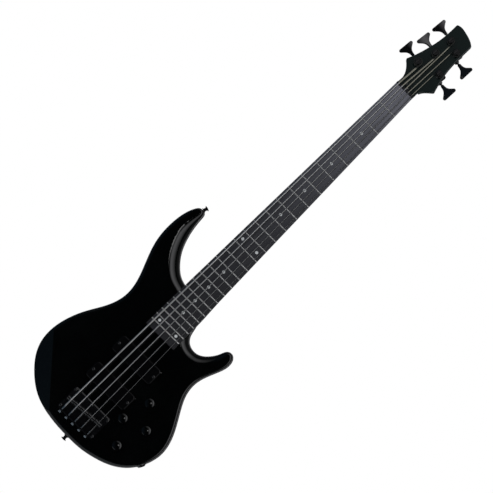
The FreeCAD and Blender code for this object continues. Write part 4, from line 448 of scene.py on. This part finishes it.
def grained(name, dark, light, scale, smooth, rough, stretch=(1, 1, 1), detail=3.0, relief=None, **values):
    """Material whose colour, roughness and relief follow one grain; values set its shader's other inputs."""
    material, tree, shader = fresh_material(name)
    noise = add_noise(tree, object_place(tree, stretch), scale, detail)
    tree.links.new(add_mix(tree, noise, dark, light), shader.inputs["Base Color"])
    tree.links.new(add_range(tree, noise, NOISE_LOW, NOISE_HIGH, smooth, rough), shader.inputs["Roughness"])
    if relief:
        add_bump(tree, shader, noise, *relief)
    for label, value in values.items():
        shader.inputs[label].default_value = value
    return material


bare_steel = grained("bare_steel", STEEL_DARK, STEEL_LIGHT, scale=900.0, smooth=0.28, rough=0.5,
                     stretch=STEEL_STRETCH, detail=4.0, Metallic=1.0)
dress(bare_steel, "truss_rod")
# The cover takes the neck's colours, with their painted green reflection.
cover_gloss = lacquer("cover_gloss", ripple=200.0, gloss=0.08, dull=0.18, dark=NECK_BLACK_GREEN_SHEEN, light=NECK_WORN_GREEN_SHEEN)
dress(cover_gloss, "truss_rod_cover")

# Fingerboard: a strip of oiled dark hardwood glued to the neck, with long straight grain and open pores.
# Its face is slightly curved across, and it overhangs the body's edge at the end.
BOARD_DARK = (0.004, 0.0039, 0.0043, 1)
BOARD_LIGHT = (0.013, 0.0127, 0.0138, 1)
BOARD_IOR = 1.36
BOARD_GLOSS = 0.34
BOARD_DULL = 0.46
GRAIN_STRETCH = (1, 1, 0.03)
PORE_STRETCH = (1, 1, 0.02)
PORE_LOW = 0.4
PORE_HIGH = 0.65
PORE_STRENGTH = 0.12
PORE_DEPTH = 0.0001
board_wood, tree, shader = fresh_material("board_wood")
grain = add_noise(tree, object_place(tree, GRAIN_STRETCH), scale=170.0, detail=6.0, roughness=0.6)
pores = add_noise(tree, object_place(tree, PORE_STRETCH), scale=700.0, detail=2.0)
grain_share = add_range(tree, grain, NOISE_LOW, NOISE_HIGH, 0.0, 1.0)
tree.links.new(add_mix(tree, grain_share, BOARD_DARK, BOARD_LIGHT), shader.inputs["Base Color"])
oiled = add_range(tree, pores, PORE_LOW, PORE_HIGH, BOARD_DULL, BOARD_GLOSS)
tree.links.new(oiled, shader.inputs["Roughness"])
add_bump(tree, shader, pores, PORE_STRENGTH, PORE_DEPTH)
shader.inputs["IOR"].default_value = BOARD_IOR
dress(board_wood, "fingerboard")

# Frets: 24 lengths of nickel silver wire with a round crown, polished along the crown.
# Each is pressed into a slot sawn across the board.
FRET_DULL = (0.48, 0.475, 0.46, 1)
FRET_BRIGHT = (0.60, 0.595, 0.58, 1)
FRET_STRETCH = (0.2, 1, 1)
fret_metal = grained("fret_metal", FRET_DULL, FRET_BRIGHT, scale=140.0, smooth=0.22, rough=0.34,
                     stretch=FRET_STRETCH, Metallic=1.0)
dress(fret_metal, "frets")

# Position dots: white plastic pins that mark places along the neck.
# They are glued into holes in the face and the edge of the board and rubbed flush.
DOT_GREY = (0.62, 0.62, 0.6, 1)
DOT_PALE = (0.8, 0.8, 0.79, 1)
dot_white = grained("dot_white", DOT_GREY, DOT_PALE, scale=420.0, smooth=0.25, rough=0.4)
dress(dot_white, "position_dots")

# Nut: a slotted block of black plastic filled with graphite, which guides the strings.
# It is glued across the end of the board.
NUT_DARK = (0.005, 0.005, 0.006, 1)
NUT_LIGHT = (0.014, 0.014, 0.016, 1)
nut_black = grained("nut_black", NUT_DARK, NUT_LIGHT, scale=1600.0, smooth=0.22, rough=0.4)
dress(nut_black, "nut")

# Tuners: five geared machines screwed to the headstock's back, each with a key, a worm, a post and a bushing.
# Their cast parts are plated black and polished.
STRINGS = ("b", "e", "a", "d", "g")
tuner_black = black_metal("tuner_black", fleck_scale=500.0, gloss=0.06, dull=0.14, depth=1.6)
dress(tuner_black, "tuner_housings", "tuner_bushings")
for name in STRINGS:
    dress(tuner_black, "tuner_key_" + name, "tuner_post_" + name)
fit_screws("small_screws", screw_black, seed=2)

# Bridge: a bent plate with five sliding saddles, each drawn by a long screw through the rear flange.
# Plate and saddles are plated black, the plate with a thinner film, and five wood screws hold the plate.
bridge_black = black_metal("bridge_black", fleck_scale=700.0, gloss=0.06, dull=0.13, depth=1.6)
plate_black = black_metal("plate_black", fleck_scale=700.0, gloss=0.06, dull=0.13, depth=1.42)
dress(plate_black, "bridge_plate")
for name in STRINGS:
    dress(bridge_black, "saddle_" + name, "intonation_screw_" + name)
fit_screws("bridge_screws", screw_black, seed=3)

# Pickups: closed glossy plastic covers let into the body, over two copper coils and their bar magnets.
# A small screw at each end holds the cover down.
COVER_DARK = (0.0016, 0.0016, 0.0018, 1)
COVER_LIGHT = (0.0030, 0.0030, 0.0034, 1)
COVER_IOR = 1.3
cover_plastic = grained("cover_plastic", COVER_DARK, COVER_LIGHT, scale=500.0, smooth=0.06, rough=0.12,
                        IOR=COVER_IOR)
dress(cover_plastic, "neck_pickup_cover", "bridge_pickup_cover")
fit_screws("pickup_screws", screw_black, seed=4)
COPPER_DARK = (0.42, 0.16, 0.07, 1)
COPPER_LIGHT = (0.62, 0.27, 0.12, 1)
COPPER_ROUGHNESS = 0.4
TURN_STRETCH = (0.05, 1, 0.05)
copper, tree, shader = fresh_material("copper_winding")
turns = add_noise(tree, object_place(tree, TURN_STRETCH), scale=4000.0, detail=2.0)
tree.links.new(add_mix(tree, turns, COPPER_DARK, COPPER_LIGHT), shader.inputs["Base Color"])
shader.inputs["Metallic"].default_value = 1.0
shader.inputs["Roughness"].default_value = COPPER_ROUGHNESS
dress(copper, "pickup_coils")
MAGNET_DARK = (0.05, 0.05, 0.05, 1)
MAGNET_LIGHT = (0.14, 0.14, 0.14, 1)
MAGNET_ROUGHNESS = 0.6
magnet_grey, tree, shader = fresh_material("magnet_grey")
cast = add_noise(tree, object_place(tree), scale=1500.0, detail=4.0)
tree.links.new(add_mix(tree, cast, MAGNET_DARK, MAGNET_LIGHT), shader.inputs["Base Color"])
shader.inputs["Roughness"].default_value = MAGNET_ROUGHNESS
dress(magnet_grey, "pickup_magnets")

# Controls: four turned black knobs with a low dome and a ridged grip, pressed on the shafts of the pots.
# The pots hang in a cavity from the face of the body, wired to the jack and closed at the back by a lid.
GRIP_RIDGES = 60
RIDGE_RADIUS = 0.00042
RIDGE_SIDES = 8
KNOB_SIDES = 64
DOME_STEPS = 9
DOME_DROP = 0.0011
DOME_SHARE = 0.88
SKIRT_ROUND = 0.0009
SKIRT_SHARE = 0.3
KNOB_CREASE = 40

grip_knob, knob_in, knob_out, knob_names = geometry_tree("grip_knob", [
    ("Ridges", "NodeSocketInt"), ("Radius", "NodeSocketFloat"), ("Ridge", "NodeSocketFloat"),
    ("Low", "NodeSocketFloat"), ("High", "NodeSocketFloat"), ("Finish", "NodeSocketMaterial")])
links = grip_knob.links


def add_sum(tree, kind, first, second):
    """Result of a calculation on two values, each a number or a socket."""
    node = tree.nodes.new("ShaderNodeMath")
    node.operation = kind
    for socket, value in zip(node.inputs, (first, second)):
        if isinstance(value, (int, float)):
            socket.default_value = value
        else:
            tree.links.new(value, socket)
    return node.outputs["Value"]


circle = grip_knob.nodes.new("GeometryNodeMeshCircle")
links.new(knob_in.outputs["Ridges"], circle.inputs["Vertices"])
links.new(knob_in.outputs["Radius"], circle.inputs["Radius"])
ridge = grip_knob.nodes.new("GeometryNodeMeshCylinder")
ridge.inputs["Vertices"].default_value = RIDGE_SIDES
links.new(knob_in.outputs["Ridge"], ridge.inputs["Radius"])
ridge_length = add_sum(grip_knob, "SUBTRACT", knob_in.outputs["High"], knob_in.outputs["Low"])
links.new(ridge_length, ridge.inputs["Depth"])
middle = add_sum(grip_knob, "MULTIPLY",
                 add_sum(grip_knob, "ADD", knob_in.outputs["High"], knob_in.outputs["Low"]), 0.5)
lift = grip_knob.nodes.new("ShaderNodeCombineXYZ")
links.new(middle, lift.inputs["Z"])
raised = grip_knob.nodes.new("GeometryNodeTransform")
links.new(circle.outputs["Mesh"], raised.inputs["Geometry"])
links.new(lift.outputs["Vector"], raised.inputs["Translation"])
placed = grip_knob.nodes.new("GeometryNodeInstanceOnPoints")
links.new(raised.outputs["Geometry"], placed.inputs["Points"])
links.new(ridge.outputs["Mesh"], placed.inputs["Instance"])
whole = grip_knob.nodes.new("GeometryNodeJoinGeometry")
links.new(placed.outputs["Instances"], whole.inputs["Geometry"])
links.new(knob_in.outputs["Geometry"], whole.inputs["Geometry"])
real = grip_knob.nodes.new("GeometryNodeRealizeInstances")
links.new(whole.outputs["Geometry"], real.inputs["Geometry"])
paint = grip_knob.nodes.new("GeometryNodeSetMaterial")
links.new(real.outputs["Geometry"], paint.inputs["Geometry"])
links.new(knob_in.outputs["Finish"], paint.inputs["Material"])
links.new(paint.outputs["Geometry"], knob_out.inputs["Geometry"])

knob_black = lacquer("knob_black", ripple=300.0, gloss=0.03, dull=0.07)
for number in range(1, 5):
    name = "control_knob_%d" % number
    low, high = (Vector(corner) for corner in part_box(name))
    radius = (high.x - low.x) / 2 - RIDGE_RADIUS
    height = high.y - low.y
    edge = radius * DOME_SHARE
    ball = (edge ** 2 + DOME_DROP ** 2) / (2 * DOME_DROP)
    reaches = [edge * step / DOME_STEPS for step in range(1, DOME_STEPS + 1)]
    profile = [(reach, height - ball + math.sqrt(ball ** 2 - reach ** 2)) for reach in reaches]
    corner = SKIRT_ROUND * SKIRT_SHARE
    profile += [(radius - corner, height - DOME_DROP - corner), (radius, height - DOME_DROP - SKIRT_ROUND),
                (radius, 0)]
    shell = bmesh.new()
    rings = [[shell.verts.new((reach * math.cos(2 * math.pi * step / KNOB_SIDES),
                               reach * math.sin(2 * math.pi * step / KNOB_SIDES), level))
              for step in range(KNOB_SIDES)] for reach, level in profile]
    join_rings(shell, rings)
    shell.faces.new(rings[0])
    shell.faces.new(rings[-1])
    core = finish_mesh(shell, name + "_core", KNOB_CREASE)
    knob = bake(bpy.data.objects.new("grip_" + name, core), grip_knob, {
        knob_names["Ridges"]: GRIP_RIDGES, knob_names["Radius"]: radius, knob_names["Ridge"]: RIDGE_RADIUS,
        knob_names["Low"]: SKIRT_ROUND, knob_names["High"]: height - DOME_DROP - SKIRT_ROUND * 2,
        knob_names["Finish"]: knob_black})
    knob.data.transform(Matrix.Translation(((low.x + high.x) / 2, high.y, (low.z + high.z) / 2))
                        @ Matrix.Rotation(math.pi / 2, 4, "X"))
    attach(knob, name)
    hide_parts(name)
    dress(bare_steel, "control_shaft_%d" % number)
dress(bare_steel, "control_pots")
dress(screw_black, "panel_nuts", "output_jack")
LID_DARK = (0.004, 0.004, 0.0045, 1)
LID_LIGHT = (0.008, 0.008, 0.009, 1)
LID_RELIEF = (0.08, 0.0001)
lid_plastic = grained("lid_plastic", LID_DARK, LID_LIGHT, scale=1800.0, smooth=0.3, rough=0.46,
                      relief=LID_RELIEF)
dress(lid_plastic, "control_lid", "wiring")

# Strap buttons: two turned black buttons of plated metal, one at the tail and one on the long horn.
# A wood screw of its own holds each button.
button_black = black_metal("button_black", fleck_scale=900.0, gloss=0.12, dull=0.24, depth=1.25)
dress(button_black, "strap_buttons")
fit_screws("strap_screws", screw_black, seed=5)

# Strings: steel cores wound with round nickel-plated wire, from the ball end over saddle and nut to the post.
# Beyond the nut the windings are overlaid with pale thread, darkened with painted shade where they run round
# the post.
WIRE_PITCH = 0.00042
WIRE_STRENGTH = 0.15
WIRE_DEPTH = 0.0001
WIRE_ROUGHNESS = 0.34
THREAD_ROUGHNESS = 0.6
THREAD_METALLIC = 0.3
TARNISH_STRETCH = (1, 1, 0.2)
TARNISH_SHARES = (0.66, 0.65, 0.63)
BALL_LEVEL = -0.885
THREAD_START = 0.004
POST_NEAR = 0.0105
POST_FAR = 0.0135
# Painted shade: the strings share one metal, but its brightness drops string by string towards the treble
# side, as the light falls across them.
STRING_SHADED_TONES = {"b": 0.68, "e": 0.60, "a": 0.48, "d": 0.32, "g": 0.22}
THREAD_PALE = (0.30, 0.28, 0.22, 1)
THREAD_SHADED = (0.020, 0.022, 0.018, 1)
# Painted reflection: the ball ends' metal is tinted a bright bluish grey, standing in for a bluish reflection
# round the bridge flange.
BALL_METAL_AND_REFLECTION = (0.22, 0.26, 0.29, 1)
wound, wound_in, wound_out = fresh_group(
    "wound_wire",
    [("Pitch", WIRE_PITCH), ("Tarnish", 40.0)],
    [("Tarnish", "NodeSocketFloat"), ("Thread", "NodeSocketFloat"), ("Ball", "NodeSocketFloat"),
     ("Height", "NodeSocketFloat")])
along = wound.nodes.new("ShaderNodeSeparateXYZ")
wound.links.new(object_place(wound), along.inputs["Vector"])
turn = add_sum(wound, "DIVIDE", along.outputs["Z"], wound_in.outputs["Pitch"])
wound.links.new(add_sum(wound, "PINGPONG", turn, 0.5), wound_out.inputs["Height"])
stain = add_noise(wound, object_place(wound, TARNISH_STRETCH), wound_in.outputs["Tarnish"], detail=4.0)
wound.links.new(stain, wound_out.inputs["Tarnish"])
wound.links.new(add_range(wound, along.outputs["Z"], THREAD_START, THREAD_START + WIRE_PITCH, 0.0, 1.0),
                wound_out.inputs["Thread"])
wound.links.new(add_range(wound, along.outputs["Z"], BALL_LEVEL, BALL_LEVEL - WIRE_PITCH, 0.0, 1.0),
                wound_out.inputs["Ball"])
for name in STRINGS:
    # Each string's metal takes its own brightness from the table, with painted shade darkening the treble
    # strings.
    shaded_tone = STRING_SHADED_TONES[name]
    string_wire, tree, shader = fresh_material("string_wire_" + name)
    winding = use_group(tree, wound)
    tarnished = tuple(shaded_tone * share for share in TARNISH_SHARES) + (1,)
    metal = add_mix(tree, winding.outputs["Tarnish"], tarnished, (shaded_tone, shaded_tone, shaded_tone, 1))
    post_low, post_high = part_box("tuner_post_" + name)
    away = tree.nodes.new("ShaderNodeVectorMath")
    away.operation = "DISTANCE"
    tree.links.new(object_place(tree, (1, 0, 1)), away.inputs[0])
    away.inputs[1].default_value = ((post_low[0] + post_high[0]) / 2, 0, (post_low[2] + post_high[2]) / 2)
    # Painted shade: the thread darkens near each post's axis and is pale farther out.
    unshaded = add_range(tree, away.outputs["Value"], POST_NEAR, POST_FAR, 0.0, 1.0)
    thread = add_mix(tree, unshaded, THREAD_SHADED, THREAD_PALE)
    threaded = add_mix(tree, winding.outputs["Thread"], metal, thread)
    tree.links.new(add_mix(tree, winding.outputs["Ball"], threaded, BALL_METAL_AND_REFLECTION), shader.inputs["Base Color"])
    metallic = add_range(tree, winding.outputs["Thread"], 0.0, 1.0, 1.0, THREAD_METALLIC)
    tree.links.new(metallic, shader.inputs["Metallic"])
    dullness = add_range(tree, winding.outputs["Thread"], 0.0, 1.0, WIRE_ROUGHNESS, THREAD_ROUGHNESS)
    tree.links.new(dullness, shader.inputs["Roughness"])
    add_bump(tree, shader, winding.outputs["Height"], WIRE_STRENGTH, WIRE_DEPTH)
    dress(string_wire, "string_" + name)

# Studio: the instrument hangs by its neck over a small pale floor, before a white ground.
# A broad bright wall stands to the right of the camera, and soft strips of light stand behind the instrument.
# One lamp lights the body's face, and one over the nut lights the board alone, which shines towards the nut.
PHOTO_SIDE = 0.9432
VIEW_MIDDLE = (-0.0039, -0.4243)
LENS = 1200.0
VIEW_TURN = 5.0
SENSOR = 36.0
RIGHT = Vector((0.70895, 0, 0.70526))
UP = Vector((-0.70526, 0, 0.70895))
distance = PHOTO_SIDE * LENS / SENSOR
camera_data = bpy.data.cameras.new("photo_camera")
camera_data.lens = LENS
camera_data.sensor_width = SENSOR
camera = bpy.data.objects.new("photo_camera", camera_data)
bpy.context.scene.collection.objects.link(camera)
camera_axes = Matrix((RIGHT, UP, Vector((0, -1, 0)))).transposed().to_4x4()
straight = Matrix.Translation((0, -distance, 0)) @ camera_axes
view_centre = Matrix.Translation((VIEW_MIDDLE[0], 0, VIEW_MIDDLE[1]))
camera.matrix_world = view_centre @ Matrix.Rotation(math.radians(VIEW_TURN), 4, "Z") @ straight
bpy.context.scene.camera = camera

FLOOR_LEVEL = -1.3
FLOOR_RADIUS = 0.75
FLOOR_SIDES = 96
FLOOR_GREY = (0.78, 0.78, 0.78, 1)
FLOOR_PALE = (0.82, 0.82, 0.82, 1)
FLOOR_ROUGHNESS = 0.7
floor_mesh = bpy.data.meshes.new("floor")
angles = [2 * math.pi * step / FLOOR_SIDES for step in range(FLOOR_SIDES)]
rim = [(FLOOR_RADIUS * math.cos(angle), FLOOR_RADIUS * math.sin(angle), FLOOR_LEVEL) for angle in angles]
floor_mesh.from_pydata(rim, [], [list(range(FLOOR_SIDES))])
floor = bpy.data.objects.new("floor", floor_mesh)
bpy.context.scene.collection.objects.link(floor)
floor_paint, tree, shader = fresh_material("floor_paint")
floor_cloud = add_noise(tree, object_place(tree), scale=3.0, detail=4.0)
tree.links.new(add_mix(tree, floor_cloud, FLOOR_GREY, FLOOR_PALE), shader.inputs["Base Color"])
shader.inputs["Roughness"].default_value = FLOOR_ROUGHNESS
floor_mesh.materials.append(floor_paint)


def soft_box(name, place, target, width, height, power, colour=(1, 1, 1)):
    """Area lamp at a place, turned towards a target."""
    data = bpy.data.lights.new(name, "AREA")
    data.shape = "RECTANGLE"
    data.size = width
    data.size_y = height
    data.energy = power
    data.color = colour
    lamp = bpy.data.objects.new(name, data)
    lamp.location = place
    lamp.rotation_mode = "QUATERNION"
    lamp.rotation_quaternion = (Vector(target) - Vector(place)).to_track_quat("-Z", "Y")
    bpy.context.scene.collection.objects.link(lamp)
    return lamp


soft_box("neck_side_box", place=(0.32, -3.0, -0.32), target=(0.1, 0, -0.7),
         width=0.42, height=0.42, power=1.6)
nut_box = soft_box("nut_box", place=(-0.09, -1.0, 0.12), target=(0, 0, 0.06),
                   width=0.30, height=0.30, power=7.6, colour=(0.82, 0.84, 1.0))
board_lit = bpy.data.collections.new("board_lit")
board_lit.objects.link(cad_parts["fingerboard"])
nut_box.light_linking.receiver_collection = board_lit

WALL_LOW = 0.22
WALL_HIGH = 0.46
TOP_LOW = 0.30
TOP_HIGH = 0.65
TOP_SHARE = 0.6
SIDE_NEAR = -0.80
SIDE_FAR = -0.25
SIDE_SHARE = 0.05
BEHIND_NEAR = 0.15
BEHIND_FAR = 0.6
BEHIND_SHARE = 0.05
REAR_NEAR = 0.80
REAR_FAR = 0.92
REAR_SHARE = 0.6
REAR_LOW = 0.26
REAR_HIGH = 0.4
LEFT_NEAR = -0.1
LEFT_FAR = -0.5
FILL_COLOUR = (0.9, 0.95, 1.0, 1)
FILL_STRENGTH = 0.65
GROUND_WHITE = (1, 1, 1, 1)
ROOM_DARK = (0.004, 0.004, 0.005, 1)
ROOM_LEFT = (0.04, 0.065, 0.09, 1)
WALL_WHITE = (1.6, 1.6, 1.65, 1)
world = bpy.data.worlds.new("studio_world")
bpy.context.scene.world = world
world.use_nodes = True
tree = world.node_tree
tree.nodes.clear()
rays = tree.nodes.new("ShaderNodeLightPath")
way = tree.nodes.new("ShaderNodeTexCoord")
parts = tree.nodes.new("ShaderNodeSeparateXYZ")
tree.links.new(way.outputs["Generated"], parts.inputs["Vector"])


def lean_to(direction):
    """How far a ray leans towards a direction, as the cosine of the angle between them."""
    node = tree.nodes.new("ShaderNodeVectorMath")
    node.operation = "DOT_PRODUCT"
    node.inputs[1].default_value = Vector(direction).normalized()
    tree.links.new(way.outputs["Generated"], node.inputs[0])
    return node.outputs["Value"]


wall = add_range(tree, lean_to(RIGHT), WALL_LOW, WALL_HIGH, 0.0, 1.0)
top = add_range(tree, parts.outputs["Z"], TOP_LOW, TOP_HIGH, 0.0, TOP_SHARE)
aside = add_range(tree, parts.outputs["Y"], SIDE_NEAR, SIDE_FAR, 1.0, SIDE_SHARE)
behind = add_range(tree, parts.outputs["Y"], BEHIND_NEAR, BEHIND_FAR, 0.0, BEHIND_SHARE)
rear_place = add_sum(tree, "MAXIMUM", add_sum(tree, "ABSOLUTE", parts.outputs["X"], 0.0), parts.outputs["Z"])
rear_edge = add_range(tree, rear_place, REAR_LOW, REAR_HIGH, 0.0, 1.0)
rear_depth = add_range(tree, parts.outputs["Y"], REAR_NEAR, REAR_FAR, 0.0, REAR_SHARE)
rear = add_sum(tree, "MULTIPLY", rear_depth, rear_edge)
left = add_range(tree, lean_to(RIGHT), LEFT_NEAR, LEFT_FAR, 0.0, 1.0)
panel = add_sum(tree, "MULTIPLY", add_sum(tree, "MAXIMUM", wall, top), aside)
bright = add_sum(tree, "MAXIMUM", panel, add_sum(tree, "MAXIMUM", behind, rear))
ground = add_mix(tree, bright, add_mix(tree, left, ROOM_DARK, ROOM_LEFT), WALL_WHITE)
seen = tree.nodes.new("ShaderNodeBackground")
tree.links.new(add_mix(tree, rays.outputs["Is Camera Ray"], ground, GROUND_WHITE), seen.inputs["Color"])
fill = tree.nodes.new("ShaderNodeBackground")
fill.inputs["Color"].default_value = FILL_COLOUR
fill.inputs["Strength"].default_value = FILL_STRENGTH
mirrored = add_sum(tree, "MAXIMUM", rays.outputs["Is Glossy Ray"], rays.outputs["Is Transmission Ray"])
choice = tree.nodes.new("ShaderNodeMixShader")
tree.links.new(add_sum(tree, "MAXIMUM", mirrored, rays.outputs["Is Camera Ray"]), choice.inputs["Fac"])
tree.links.new(fill.outputs["Background"], choice.inputs[1])
tree.links.new(seen.outputs["Background"], choice.inputs[2])
sky = tree.nodes.new("ShaderNodeOutputWorld")
tree.links.new(choice.outputs["Shader"], sky.inputs["Surface"])
bpy.context.scene.view_settings.view_transform = "Standard"
